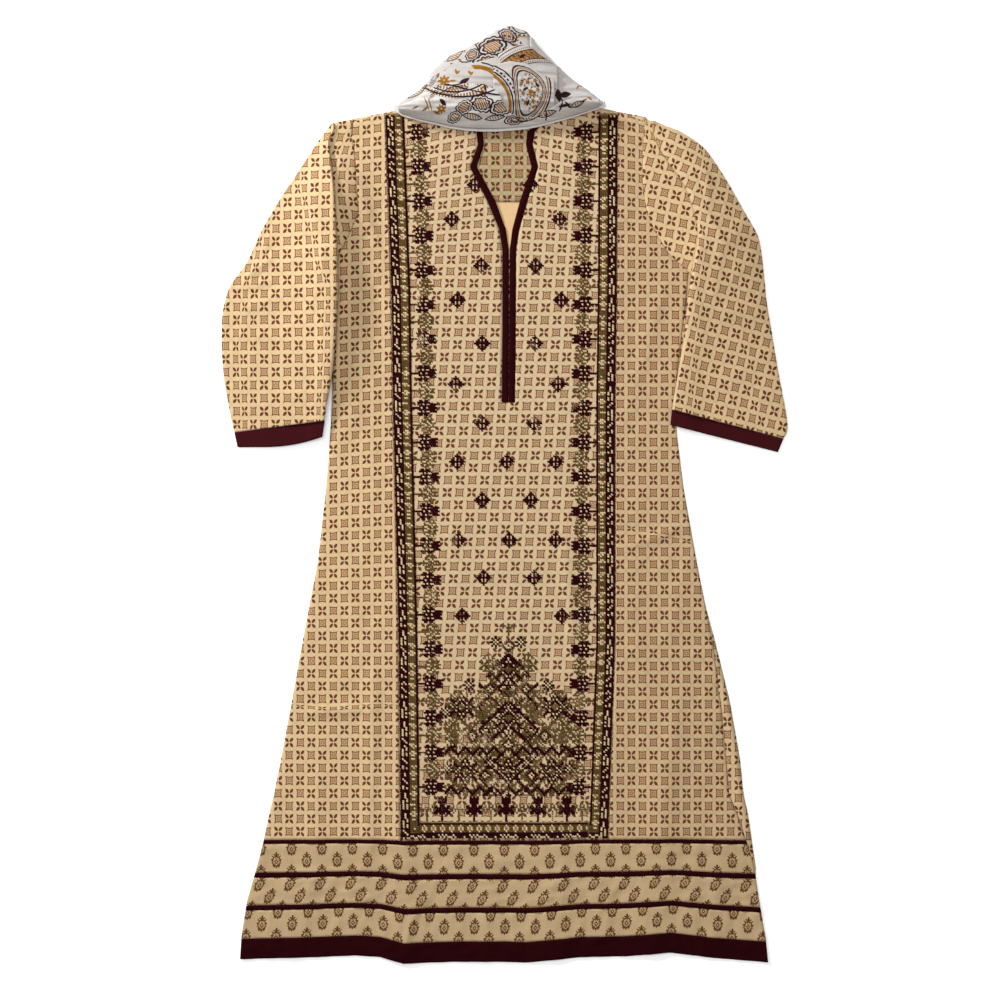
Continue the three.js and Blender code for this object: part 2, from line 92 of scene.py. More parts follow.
def new_look(name, **settings):
    """A new material with the named inputs of its Principled shader set."""
    material = bpy.data.materials.new(name)
    material.use_nodes = True
    shader = material.node_tree.nodes["Principled BSDF"]
    for title, value in settings.items():
        shader.inputs[title.replace("_", " ")].default_value = value
    return material, material.node_tree, shader


studio_lamp("window_lamp", (-2.1, 1.9, 1.3), aim=(0, 0, 0), size=0.45, power=132)
studio_lamp("ceiling_lamp", (-0.15, 0.3, 2.6), aim=(-0.1, 0.2, 0), size=1.8, power=58)

world = bpy.data.worlds.new("studio")
world.use_nodes = True
background = world.node_tree.nodes["Background"]
background.inputs["Color"].default_value = (1, 1, 1, 1)
background.inputs["Strength"].default_value = 0.3
scene.world = world

FLOOR_SIZE = 12
FLOOR_DROP = 0.2 * MM  # keeps the floor clear of the underside of the cloth
bpy.ops.object.select_all(action="DESELECT")
bpy.ops.mesh.primitive_plane_add(size=FLOOR_SIZE, location=(0, 0, -FLOOR_DROP))
floor = bpy.context.object
floor.name = "floor"
bpy.ops.object.transform_apply(location=True)
floor_paper, _, _ = new_look("floor_paper", Base_Color=(0.97, 0.97, 0.97, 1), Roughness=0.9)
floor.data.materials.append(floor_paper)
bpy.ops.object.select_all(action="DESELECT")

# %% [markdown]
# A print is a formula: it asks at each point of the cloth how far it is from a leaf or a ring. Writing
# that with hundreds of Math nodes by hand is slow, so Wire lets plain sums make the nodes. Every print
# and weave below is a node group made this way, with named inputs and outputs.

# %% Shader arithmetic


class Wire:
    """A number that flows through a node group, with arithmetic that adds Math nodes."""

    def __init__(self, tree, socket):
        self.tree = tree
        self.socket = socket

    def math(self, operation, *others, clamp=False):
        node = self.tree.nodes.new("ShaderNodeMath")
        node.operation = operation
        node.use_clamp = clamp
        for slot, value in zip(node.inputs, (self, *others)):
            if isinstance(value, Wire):
                self.tree.links.new(value.socket, slot)
            else:
                slot.default_value = value
        return Wire(self.tree, node.outputs[0])

    def __rsub__(self, first):
        node = self.tree.nodes.new("ShaderNodeMath")
        node.operation = "SUBTRACT"
        node.inputs[0].default_value = first
        self.tree.links.new(self.socket, node.inputs[1])
        return Wire(self.tree, node.outputs[0])

    __add__ = partialmethod(math, "ADD")
    __sub__ = partialmethod(math, "SUBTRACT")
    __mul__ = partialmethod(math, "MULTIPLY")
    __truediv__ = partialmethod(math, "DIVIDE")
    __radd__ = __add__
    __rmul__ = __mul__
    __abs__ = partialmethod(math, "ABSOLUTE")
    floor = partialmethod(math, "FLOOR")
    fract = partialmethod(math, "FRACT")
    sin = partialmethod(math, "SINE")
    cos = partialmethod(math, "COSINE")
    sqrt = partialmethod(math, "SQRT")
    larger = partialmethod(math, "MAXIMUM")
    angle_to = partialmethod(math, "ARCTAN2")

    def above(self, limit, soft):
        """1 where the value is over the limit, 0 below it, with a soft edge."""
        return ((self - limit) / (2 * soft) + 0.5).math("ADD", 0.0, clamp=True)

    def within(self, low, high, soft):
        """1 between two limits, 0 outside them, with soft edges."""
        return self.above(low, soft) * (1 - self.above(high, soft))


def new_group(name, place, outputs):
    """A shader node group that gets a place on the cloth and gives the named numbers."""
    group = bpy.data.node_groups.new(name, "ShaderNodeTree")
    group.interface.new_socket(place, in_out="INPUT", socket_type="NodeSocketVector")
    for title in outputs:
        group.interface.new_socket(title, in_out="OUTPUT", socket_type="NodeSocketFloat")
    source = group.nodes.new("NodeGroupInput")
    result = group.nodes.new("NodeGroupOutput")
    return group, Wire(group, source.outputs[0]), result


def feed(result, **values):
    for title, wire in values.items():
        wire.tree.links.new(wire.socket, result.inputs[title])


def split(place):
    node = place.tree.nodes.new("ShaderNodeSeparateXYZ")
    place.tree.links.new(place.socket, node.inputs[0])
    return Wire(place.tree, node.outputs[0]), Wire(place.tree, node.outputs[1])


def join(x, y):
    node = x.tree.nodes.new("ShaderNodeCombineXYZ")
    x.tree.links.new(x.socket, node.inputs[0])
    x.tree.links.new(y.socket, node.inputs[1])
    return Wire(x.tree, node.outputs[0])


def noise(place, scale, detail=2.0, roughness=0.5):
    node = place.tree.nodes.new("ShaderNodeTexNoise")
    node.noise_dimensions = "3D"
    node.inputs["Scale"].default_value = scale
    node.inputs["Detail"].default_value = detail
    node.inputs["Roughness"].default_value = roughness
    place.tree.links.new(place.socket, node.inputs["Vector"])
    return Wire(place.tree, node.outputs["Fac"])


# %% [markdown]
# The tunic's small print is a checkerboard of two blocks: a cross of four leaves, and a square with
# hollowed sides, a light dot and light corner marks. A pale ring runs round each. The print came off
# a hand-cut screen, so its edges wander a little and the ink is uneven.

# %% Small print of the tunic
small_print, place, result = new_group("small_print", "Cells", ["Leaf", "Square", "Fill", "Pale"])
drift_x = noise(place, 0.9) - 0.5
drift_y = noise(place, 1.1) - 0.5
cell_u, cell_v = split(place)
cell_u = cell_u + drift_x * 0.10
cell_v = cell_v + drift_y * 0.10
parity = ((cell_u.floor() + cell_v.floor()) * 0.5).fract() * 2
across = cell_u.fract() - 0.5
along = cell_v.fract() - 0.5
ragged = (noise(place, 9.0, 3.0) - 0.5) * 0.035

DIAGONAL = 0.7071
slant = (across + along) * DIAGONAL
counter = (across - along) * DIAGONAL


def leaf(length, width):
    reach = (abs(length) - 0.29) / 0.235
    return (1 - reach * reach) * 0.122 - abs(width) + ragged


leaves = leaf(slant, counter).larger(leaf(counter, slant)).above(0.0, 0.018)
hollow = (abs(across) - along * along * 0.62).larger(abs(along) - across * across * 0.62) + ragged
outline = hollow.within(0.215, 0.292, 0.016)
inner = 1 - hollow.above(0.225, 0.014)
distance = (across * across + along * along).sqrt()
dot = 1 - distance.above(0.062, 0.016)
ring = distance.within(0.062, 0.115, 0.014)
corner = 1 - (abs(abs(across) - 0.165)).larger(abs(abs(along) - 0.165)).above(0.026, 0.012)
light_marks = dot.larger(corner)
square = (outline.larger(ring * 0.8)) * (1 - dot)
filled = inner * (1 - light_marks)
pale = distance.within(0.47, 0.55, 0.03)
feed(result, Leaf=leaves * (1 - parity), Square=square * parity, Fill=filled * parity, Pale=pale)
print("small print nodes", len(small_print.nodes))

# %% [markdown]
# The three pale bands near the hem carry booti: small sprigs, one at each point of a half-drop grid.
# Each sprig is an oval ring of small scrolls round a pointed heart, with a tuft above and one below.

# %% Booti print of the bands
CELL_WIDE, CELL_TALL = 19.0, 31.2  # from one sprig to the next, in mm

booti_print, place, result = new_group("booti_print", "Cells", ["Ink", "Wash"])
cell_u, cell_v = split(place)
cell_v = cell_v + (cell_u.floor() * 0.5).fract()
across = (cell_u.fract() - 0.5) * CELL_WIDE
along = (cell_v.fract() - 0.5) * CELL_TALL
rough = (noise(place, 16.0, 3.0) - 0.5) * 0.5
head_y = along + 0.6
turn = across.angle_to(head_y)
radius = ((across / 6.0) * (across / 6.0) + (head_y / 7.2) * (head_y / 7.2)).sqrt()
teeth = (turn * 10).cos() * 0.13
leafy_ring = (radius - teeth + rough * 0.4).within(0.56, 1.04, 0.05)
scroll = ((turn * 5).cos() * 0.5 + (radius * 17).sin()).above(-0.75, 0.25)
heart = abs(across) / 2.5 + abs(head_y + 0.4) / 3.4 + rough * 0.2
heart_line = heart.within(0.42, 1.05, 0.08)


def small_leaf(centre_x, centre_y, wide, tall, bend=0.0):
    x = abs(across) - centre_x
    y = along - centre_y - x * bend
    return 1 - ((x / wide) * (x / wide) + (y / tall) * (y / tall) + rough * 0.5).above(1.0, 0.2)


tuft = small_leaf(0, 9.0, 1.3, 2.2).larger(small_leaf(2.2, 7.4, 1.7, 1.0, 0.5))
foot = small_leaf(0, -8.3, 1.0, 1.4).larger(small_leaf(2.4, -7.4, 1.6, 0.9, -0.5))
shoulder = small_leaf(4.4, 5.4, 1.5, 0.9, 0.7)
sprig = (leafy_ring * scroll).larger(heart_line).larger(tuft).larger(foot).larger(shoulder)
feed(result, Ink=sprig, Wash=leafy_ring)
print("booti print nodes", len(booti_print.nodes))

# %% [markdown]
# Plain-woven cotton: warp and weft pass over and under, about 24 threads to the centimetre. One group
# gives a height for the bump and a slow change of tone, since some threads are thicker than others.

# %% Weave and slubs
weave_group, place, result = new_group("plain_weave", "Threads", ["Height", "Tone"])
thread_u, thread_v = split(place)
over = (thread_u * math.pi).sin() * (thread_v * math.pi).sin()
warp = abs((thread_u * math.pi).sin())
weft = abs((thread_v * math.pi).sin())
height = (warp + weft) * 0.5 + over * 0.35
slub_u = noise(join(thread_u * 0.35, thread_v * 0.012), 1.0)
slub_v = noise(join(thread_u * 0.012, thread_v * 0.35), 1.0)
cloudy = noise(place, 0.02, 4.0, 0.6)
tone = (slub_u + slub_v) * 0.5 - 0.5 + (cloudy - 0.5) * 0.5
feed(result, Height=height + tone * 0.8, Tone=tone)

# %% [markdown]
# A cloth's look is built in layers: the weave goes into the bump, the ground drifts a little towards a
# tint, and then each ink of the print is laid over it. Every group reads the piece's own UV map, which
# holds metres along the cloth, so a print keeps its size on every piece.

# %% Helpers for materials
THREAD = 0.42 * MM
THREAD_RELIEF = 0.15 * MM
LIGHT_ON_CLOTH = 1.52  # how bright the lamps make a white cloth, where 1 is the white of a screen


def add_group(tree, group, size_u, size_v):
    """A node group that reads the cloth's UV map in cells of size_u by size_v metres."""
    uv = tree.nodes.new("ShaderNodeUVMap")
    uv.uv_map = "cloth"
    mapping = tree.nodes.new("ShaderNodeMapping")
    mapping.inputs["Scale"].default_value = (1 / size_u, 1 / size_v, 1)
    tree.links.new(uv.outputs[0], mapping.inputs["Vector"])
    node = tree.nodes.new("ShaderNodeGroup")
    node.node_tree = group
    tree.links.new(mapping.outputs[0], node.inputs[0])
    return node


def srgb(red, green, blue):
    """A colour as seen under these lamps, 0 to 255, turned into the dye a shader works with."""
    def linear(channel):
        value = channel / 255
        return value / 12.92 if value <= 0.04045 else ((value + 0.055) / 1.055) ** 2.4
    return tuple(linear(c) / LIGHT_ON_CLOTH for c in (red, green, blue)) + (1.0,)


def inked(tree, base, colour, share, gain, shift=0.0):
    """Lay a colour over the base, where share is a socket that says how much of it."""
    node = tree.nodes.new("ShaderNodeMix")
    node.data_type = "RGBA"
    node.clamp_factor = True
    amount, below, above = node.inputs[0], node.inputs[6], node.inputs[7]
    tree.links.new((Wire(tree, share) * gain + shift).socket, amount)
    above.default_value = srgb(*colour)
    if hasattr(base, "node"):
        tree.links.new(base, below)
    else:
        below.default_value = base
    return node.outputs[2]


def woven(name, ground, tint, drift, design=None, inks=(), thread=THREAD, relief=0.35, roughness=0.85,
          sheen=0.05, specular=0.12):
    """A new cloth material. The design is a group and its cell size; inks are laid on in order."""
    material, tree, shader = new_look(name, Roughness=roughness, Sheen_Weight=sheen,
                                      Specular_IOR_Level=specular)
    weave = add_group(tree, weave_group, thread, thread)
    bump = tree.nodes.new("ShaderNodeBump")
    bump.inputs["Strength"].default_value = relief
    bump.inputs["Distance"].default_value = THREAD_RELIEF
    tree.links.new(weave.outputs["Height"], bump.inputs["Height"])
    tree.links.new(bump.outputs["Normal"], shader.inputs["Normal"])
    toned = inked(tree, srgb(*ground), tint, weave.outputs["Tone"], *drift)
    if design:
        group, size_u, size_v = design
        printed = add_group(tree, group, size_u * MM, size_v * MM)
        for output, colour, strength in inks:
            toned = inked(tree, toned, colour, printed.outputs[output], strength)
    tree.links.new(toned, shader.inputs["Base Color"])
    return material


BEIGE_TINT = (150, 112, 66)
BEIGE_DRIFT = (0.55, 0.10)
BROWN_INKS = [("Pale", (238, 222, 190), 0.2), ("Fill", (158, 104, 66), 0.55),
              ("Square", (102, 48, 28), 0.95), ("Leaf", (96, 42, 24), 0.98)]
BOOTI_INKS = [("Wash", (172, 130, 74), 0.5), ("Ink", (92, 54, 22), 1.0)]


def beige(name, ground, pitch_u, pitch_v, group=small_print, inks=BROWN_INKS):
    """Beige cotton with the small print, at the pitch of this piece's cloth in mm."""
    return woven(name, ground, BEIGE_TINT, BEIGE_DRIFT, (group, pitch_u, pitch_v), inks)


def dyed(name, colour, dark):
    """Plain dyed cotton, a little darker in its thicker threads."""
    return woven(name, colour, dark, (1.1, 0.45), sheen=0, specular=0.02)


GROUND = (219, 189, 142)
# The right side panel's cotton is coloured darker than GROUND: painted shade, for the light falling off
# to the right.
side_cottons = (beige("side_cotton_left", GROUND, 13.8, 15.9),
                beige("side_cotton_right_painted_shade", (202, 174, 131), 13.8, 15.9))
panel_cotton = beige("panel_cotton", (210, 185, 144), 15.3, 15.4)
sleeve_cotton = beige("sleeve_cotton", GROUND, 14.7, 16.3)
# The facing's cotton is coloured darker than GROUND: painted shade inside the neck opening.
facing_cotton_painted_shade = beige("facing_cotton_painted_shade", (172, 152, 112), 14.8, 16.3)
back_cotton = beige("back_cotton", GROUND, 13.8, 15.9)
maroon_cotton = dyed("maroon_cotton", (48, 7, 12), (30, 3, 6))
# The cuffs are the same maroon cotton coloured brighter and redder: painted light on the cuffs.
cuff_cotton_painted_light = dyed("cuff_cotton_painted_light", (72, 22, 28), (46, 10, 15))
# The bands' ground is partly their own pale cream and partly painted shade: darker for the light falling
# off towards the hem.
band_cotton_painted_shade = beige("booti_cotton", (197, 170, 130), CELL_WIDE, CELL_TALL, booti_print, BOOTI_INKS)

# %% [markdown]
# The outlines are the CAD's, as short tables in millimetres. Between two rows an edge runs straight, so
# a table needs a row only where the outline bends.

# %% Outlines in millimetres
ARMHOLE_FOOT = 288
BODY = {  # y: (left edge, right edge)
    -586: (-331, 330), -554: (-329, 327), -509: (-322, 319), -464: (-309, 312), -441: (-303, 305),
    -404: (-295, 293), -374: (-288, 281), -324: (-278, 277), -254: (-265, 270), -182: (-252, 260),
    -82: (-233, 240), 8: (-223, 224), 81: (-217, 215), 138: (-214, 216), 288: (-224, 226),
}
ARMHOLE = {
    288: (-224, 226), 299: (-206, 207), 324: (-193, 191), 353: (-181, 178), 388: (-184, 173),
    431: (-187, 173), 452: (-191, 174), 470: (-189, 177),
}
SLIT_SHOW = {-586: -3, -480: 0, -444: 5, -374: 18, -332: 17, -266: 12, -182: 3, -140: 0, 288: 0}
CENTRE = {-432: (-130, 130), -182: (-133, 139), 118: (-140, 139), 255: (-142, 141), 480: (-150, 142)}
NECK = {  # y: (left seam, left fold, right fold, right seam)
    115: (-3.5, 4.6, 5.4, 13), 210: (-2.5, 5.3, 6.2, 14), 305: (-2.5, 5.2, 6.8, 14.5),
    331: (-6.5, 1.5, 10, 18.5), 366: (-21, -11.5, 19.5, 28.5), 409: (-43, -35, 34, 42),
    437: (-33, -26, 27, 35), 453: (-35, -27.5, 29, 38), 472: (-56, -50, 50, 56),
    488: (-95, -90, 90, 95),
}
WAVE = {
    -335: 0, -310: 1, -235: 3, -185: 5, -155: 3, -126: -5, -60: -3, 0: -3, 27: -4, 95: 3, 150: 4,
    207: 9, 262: 2, 335: -4,
}
PANEL_FOOT = -432
SLIT_FOOT = 115
NECK_TOP = 488
BORDER_WIDTH = 23
LAYER = 1.3
SHOULDER_SLOPE = 0.19
SHOULDER_START = 95
BODICE_SPREAD = 5  # the right side is this much fuller below the armhole


def read(table, at, column=None):
    """Value of a table at a place, straight between its rows."""
    places = sorted(table)
    values = [table[p] if column is None else table[p][column] for p in places]
    return np.interp(at, places, values)


def smooth(low, high, at):
    share = np.clip((np.asarray(at, float) - low) / (high - low), 0, 1)
    return share * share * (3 - 2 * share)


def body_edge(y, side):
    y = np.asarray(y, float)
    edge = np.where(y > ARMHOLE_FOOT, read(ARMHOLE, y, side), read(BODY, y, side))
    return edge + BODICE_SPREAD * side * smooth(150, 270, y) * (y <= ARMHOLE_FOOT)


def centre_edge(y, side):
    return read(CENTRE, y, side)


def wave_at(x, y):
    return read(WAVE, x) * (1 - smooth(-586, -380, y))


def shoulder_at(x):
    return NECK_TOP - SHOULDER_SLOPE * np.maximum(0, np.abs(x) - SHOULDER_START)


# %% [markdown]
# Creases decide how cloth reads. Each is a soft ridge with its own place, lean, length, width and
# rise, listed one by one as the real cloth shows them: long soft waves run up from the hem, short drag
# lines point at the armholes, and two pinched pleats cross the side panels.

# %% Creases of the front
CREASES = [  # x, y, lean from the length in degrees, half length, half width, rise
    (82, -150, -4, 150, 6, 1.3), (-238, -430, 4, 150, 13, 1.6), (-20, -520, 3, 90, 12, 1.4),
    (120, -520, 2, 90, 12, 1.6), (235, -500, 6, 120, 11, 1.6), (-300, -500, -9, 110, 9, 1.4),
    (-92, -495, 30, 50, 5, 1.2), (-245, -492, 26, 44, 6, 1.2), (140, -492, 34, 40, 5, 1.0),
    (-118, -540, 12, 40, 5, 1.3), (-165, 330, -16, 90, 7, 1.4), (-150, 250, -24, 80, 6, 1.1),
    (-128, -500, 0, 260, 20, 2.6), (62, -510, -3, 230, 24, 2.2), (190, -500, 4, 300, 26, 3.2),
    (-167, -330, 2, 190, 9, 2.2), (-205, -270, 86, 60, 7, 2.2), (190, -52, 70, 55, 7, 2.2),
    (-268, -520, -8, 120, 16, 1.6), (265, -505, 8, 130, 14, 1.8), (-60, -480, 6, 110, 15, 1.2),
    (-188, -490, 24, 40, 6, 1.2), (-166, -493, 30, 34, 5, 1.0), (62, -488, 28, 44, 6, 1.0),
    (-165, 60, 4, 200, 11, 0.9), (-185, 210, -14, 120, 9, 1.0), (178, 190, 16, 120, 10, 1.2),
    (165, -190, -6, 160, 12, 1.0), (205, -330, 6, 120, 10, 1.2), (-70, -120, 8, 190, 18, 0.7),
    (70, 30, -7, 210, 20, 0.7), (88, 380, 40, 40, 4, 0.8), (-90, 400, -38, 44, 4, 0.7),
    (100, 330, 62, 60, 8, 0.5), (0, -250, 2, 150, 24, 0.6), (-105, 250, -30, 70, 8, 0.5),
    (110, 215, 24, 80, 10, 0.5), (-190, -140, -12, 90, 9, 0.8), (215, -130, 14, 80, 9, 0.8),
]


def ridge_height(x, y, creases):
    height = np.zeros_like(x)
    for at_x, at_y, lean, reach, half, rise in creases:
        turn = math.radians(lean)
        along = (x - at_x) * math.sin(turn) + (y - at_y) * math.cos(turn)
        across = (x - at_x) * math.cos(turn) - (y - at_y) * math.sin(turn)
        end = 1 - smooth(0.3, 1, np.abs(along) / reach)
        height = height + rise * np.exp(-(across / half) ** 2) * end
    return height


SIDE_SWELL = 12


def side_swell(x, y, start=-224):
    """The left side panel swells beside the sleeve's fold and slopes down towards the border."""
    across = smooth(start, -206, x) * (1 - smooth(-208, -150, x))
    return SIDE_SWELL * across * smooth(20, 190, y) * (1 - smooth(360, 450, y))


def front_floor(x, y):
    """Height of the underside of the front at a point."""
    over_facing = smooth(332, 360, y) * (1 - smooth(78, 106, np.abs(x)))
    return LAYER + LAYER * over_facing + side_swell(x, y) + ridge_height(x, y, CREASES)


# %% [markdown]
# A piece of cloth is a grid of points with a UV map in metres along the cloth. The wall goes below the
# grid along its normals, and rims close the open edges, so each piece is one closed thin shell.

# %% Cloth builder
SHELL = 0.7


def grid_normals(points):
    rise_v = np.gradient(points, axis=0)
    rise_u = np.gradient(points, axis=1)
    normal = np.cross(rise_u, rise_v)
    length = np.linalg.norm(normal, axis=2, keepdims=True)
    return normal / np.maximum(length, 1e-9)


def cloth_piece(name, points, uv, material, thickness=SHELL, keep=None, flip=False):
    """A closed shell from a grid of points in mm, its upper face on the points."""
    rows, columns = points.shape[:2]
    normals = grid_normals(points) * (-1 if flip else 1)
    under = points - normals * thickness
    vertices = np.concatenate([points.reshape(-1, 3), under.reshape(-1, 3)]) * MM
    half = rows * columns
    ids = np.arange(half).reshape(rows, columns)
    cells = np.stack([ids[:-1, :-1], ids[:-1, 1:], ids[1:, 1:], ids[1:, :-1]], axis=2)
    cells = cells[keep] if keep is not None else cells.reshape(-1, 4)
    if flip:
        cells = cells[:, ::-1]
    edges = {}
    for a, b in zip(cells.ravel(), np.roll(cells, -1, axis=1).ravel()):
        edges[(int(a), int(b))] = True
    rim = np.array([(b, a, a + half, b + half) for a, b in edges if (b, a) not in edges])
    faces = np.concatenate([cells, cells[:, ::-1] + half, rim])
    mesh = bpy.data.meshes.new(name + "_cloth")
    mesh.from_pydata(vertices.tolist(), [], faces.tolist())
    layer = mesh.uv_layers.new(name="cloth")
    uv_all = np.concatenate([uv.reshape(-1, 2), uv.reshape(-1, 2)]) * MM
    loops = np.empty(len(mesh.loops), dtype=np.int32)
    mesh.loops.foreach_get("vertex_index", loops)
    layer.data.foreach_set("uv", uv_all[loops].astype(np.float32).ravel())
    mesh.polygons.foreach_set("use_smooth", np.ones(len(mesh.polygons), dtype=bool))
    mesh.validate()
    piece = bpy.data.objects.new(name + "_cloth", mesh)
    scene.collection.objects.link(piece)
    mesh.materials.append(material)
    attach(piece, "root")
    return piece


def between(ys, shares, left, right):
    """Rows at heights ys from the left edge to the right edge, each a number per row."""
    x = left[:, None] * (1 - shares) + right[:, None] * shares
    return x, np.repeat(ys[:, None], len(shares), axis=1)


def laid(x, y, height):
    return np.stack([x, y, height], axis=2)

# %% [markdown]
# Every piece of cloth hides its CAD part and prints its cut: the width and length of the flat cloth, and
# its area, measured on the grid before any crease lengthens it.

# %% Cut of each piece
NARROWEST = 0.0101  # a stripe shows less of itself than this, the least width a cut can state


def cut_area(flat_x, flat_y, keep=None):
    """Area in square metres of a grid that is laid out flat, in mm."""
    diagonal_x = flat_x[1:, 1:] - flat_x[:-1, :-1]
    diagonal_y = flat_y[1:, 1:] - flat_y[:-1, :-1]
    counter_x = flat_x[1:, :-1] - flat_x[:-1, 1:]
    counter_y = flat_y[1:, :-1] - flat_y[:-1, 1:]
    area = np.abs(diagonal_x * counter_y - diagonal_y * counter_x) / 2
    if keep is not None:
        area = area[keep]
    return float(area.sum()) * MM * MM


def straightened(x, y, along=0):
    """A curved strip as it was cut: straight, with its mean width and the length of its middle line."""
    if along:
        x, y = x.T, y.T
    middle = x.shape[1] // 2
    steps = np.hypot(np.diff(x[:, middle]), np.diff(y[:, middle]))
    length = np.concatenate([[0], np.cumsum(steps)])
    width = np.hypot(x[:, -1] - x[:, 0], y[:, -1] - y[:, 0]).mean()
    return np.meshgrid(np.linspace(0, width, x.shape[1]), length)


def declare(piece, node, slot, flat_x, flat_y, held="laid", rests_on=(), keep=None, **more):
    """The piece stands for its CAD node, whose part is hidden, and prints its cut."""
    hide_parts(node)
    width = max(NARROWEST, float(np.ptp(flat_x)) * MM)
    length = max(NARROWEST, float(np.ptp(flat_y)) * MM)
    area = min(cut_area(flat_x, flat_y, keep), width * length)
    print(piece.name, "cut", round(width, 3), "x", round(length, 3), "m, area", round(area, 4))


# %% [markdown]
# The back panel is one flared piece under everything, with a plain turned hem. Its inside shows at the
# neck, where the print hardly comes through, and its edge shows past the front at the right side slit.

# %% Back panel
BACK_TOP = 470
GRID = 3.4


def row_heights(low, high, step=GRID):
    return np.linspace(low, high, int(round((high - low) / step)) + 1)


BACK_FOOT = -578
back_y = row_heights(BACK_FOOT, BACK_TOP, 8)
share = np.linspace(0, 1, 84)
back_left = body_edge(back_y, 0) + np.where(back_y < -470, 2, 0)
underarm = 8 * smooth(120, 200, back_y) * (1 - smooth(280, ARMHOLE_FOOT, back_y))
past_front = np.where(back_y > ARMHOLE_FOOT, 0, read(SLIT_SHOW, back_y) + underarm)
back_right = body_edge(back_y, 1) + past_front
x, y = between(back_y, share, back_left, back_right)
top_x = -189 + share * 366
top_y = shoulder_at(top_x) - 12 * (1 - smooth(40, 96, np.abs(top_x)))
y = y + smooth(420, BACK_TOP, y) * (top_y[None, :] - BACK_TOP)
y = y + (3 + wave_at(x, y)) * (1 - smooth(BACK_FOOT, -520, y))
back_uv = np.stack([x + 4, y + 6], axis=2)
back_panel = cloth_piece("back_panel", laid(x, y, np.full_like(x, 1.0)), back_uv, back_cotton, 0.9)
declare(back_panel, "back_panel", "printed_cotton", x, y, rests_on=["floor"])


def plain_inside(panel):
    """The upper faces near the neck take the plain wrong side of the cloth."""
    panel.data.materials.append(woven("plain_inside", (232, 196, 146), (168, 128, 82), (0.6, 0.15)))
    for polygon in panel.data.polygons:
        centre = polygon.center / MM
        if polygon.normal.z > 0.5 and abs(centre.x) < 90 and centre.y > 290:
            polygon.material_index = 1


plain_inside(back_panel)

# %% [markdown]
# A facing of the same print, turned to the wrong side, lines the back of the neck.

# %% Neck facing
FACING_HALF = 74.0
facing_y = row_heights(366, 468)
facing_edge = np.full_like(facing_y, FACING_HALF)
x, y = between(facing_y, np.linspace(0, 1, 40), -facing_edge, facing_edge)
puff = 0.5 * np.sin(x * 0.09 + y * 0.03)
facing_uv = np.stack([x + 11.4 + 7.4, y - 433.9 + 24.45], axis=2)
facing = cloth_piece("back_neck_facing", laid(x, y, 2.2 + puff * 0.3), facing_uv, facing_cotton_painted_shade)
declare(facing, "back_neck_facing", "printed_cotton", x, y, rests_on=["back_panel"])

# %% [markdown]
# The two side panels run from the armhole to the bands. The print was cut a little off the straight, so
# its rows lean near the shoulders, and it jumps where a pinched pleat swallows part of a row.

# %% Side panels
SIDE_TOP = 480
SEAM_GAP = 0.3
tremble = np.random.default_rng(5)


def crumple(x, y, count, rise, low=18.0, high=60.0):
    """Small unplanned puckers: a sum of soft ripples with seeded directions."""
    height = np.zeros_like(x)
    for _ in range(count):
        turn = tremble.uniform(0, math.pi)
        length = tremble.uniform(low, high)
        start = tremble.uniform(0, 2 * math.pi)
        drift = tremble.uniform(0, 2 * math.pi)
        ripple = np.sin((x * math.cos(turn) + y * math.sin(turn)) * 2 * math.pi / length + start)
        patch = np.sin(x * 0.013 + drift) * np.cos(y * 0.011 - drift)
        height = height + ripple * patch
    return height * rise / count ** 0.5


def side_panel(side):
    heights = row_heights(PANEL_FOOT, SIDE_TOP)
    seam = centre_edge(heights, side) - INWARD[side] * SEAM_GAP
    edge = body_edge(heights, side)
    shares = np.linspace(0, 1, 48)
    x, y = between(heights, shares, seam, edge)
    slope = (0.1, 0.22)[side]
    top = shoulder_at(x) - slope * np.maximum(0, np.abs(x) - 146)
    y = y + smooth(430, SIDE_TOP, y) * (top - SIDE_TOP)
    y = y + wave_at(x, y) * (1 - smooth(PANEL_FOOT, -330, y) * 0.4)
    height = front_floor(x, y) + SHELL + crumple(x, y, 14, 0.5)
    roll = np.clip((shares[None, :] - 0.955) / 0.045, 0, 1)
    height = height - roll ** 2 * 0.8 * (1 - smooth(270, 290, y))
    if side == 0:
        jump = 9 * smooth(-268, -262, y + 3 * np.sin(x * 0.05))
        v = y - 0.12 * (x + 140) * smooth(-260, 230, y) + jump
    else:
        jump = 6 * smooth(-52, -47, y + (x - 190) * 0.22)
        v = y + 0.19 * (x - 140) * smooth(275, 440, y) + jump
    name = "front_side_panel_" + SIDES[side]
    cloth = cloth_piece(name, laid(x, y, height), np.stack([x, v], axis=2), side_cottons[side])
    declare(cloth, name, "printed_cotton", x, y, rests_on=["back_panel"])


for side in (0, 1):
    side_panel(side)

# %% [markdown]
# The centre panel has the neck cut into it: a notch with a long slit below. The grid runs right across
# under the slit, and above it the cells between the two cut edges are left out.

# %% Centre panel
LEFT_SEAM, LEFT_FOLD, RIGHT_FOLD, RIGHT_SEAM = range(4)  # the columns of the neck's table
HALF_CELLS = 40
SLIT_CELLS = 5
SHOULDER_DROP = NECK_TOP - float(shoulder_at(centre_edge(480, 0)))


def shoulder_drop(heights):
    """How far a row of the centre panel has sunk where it meets the side panel."""
    return SHOULDER_DROP * np.clip((heights - SLIT_FOOT) / (NECK_TOP - SLIT_FOOT), 0, 1)


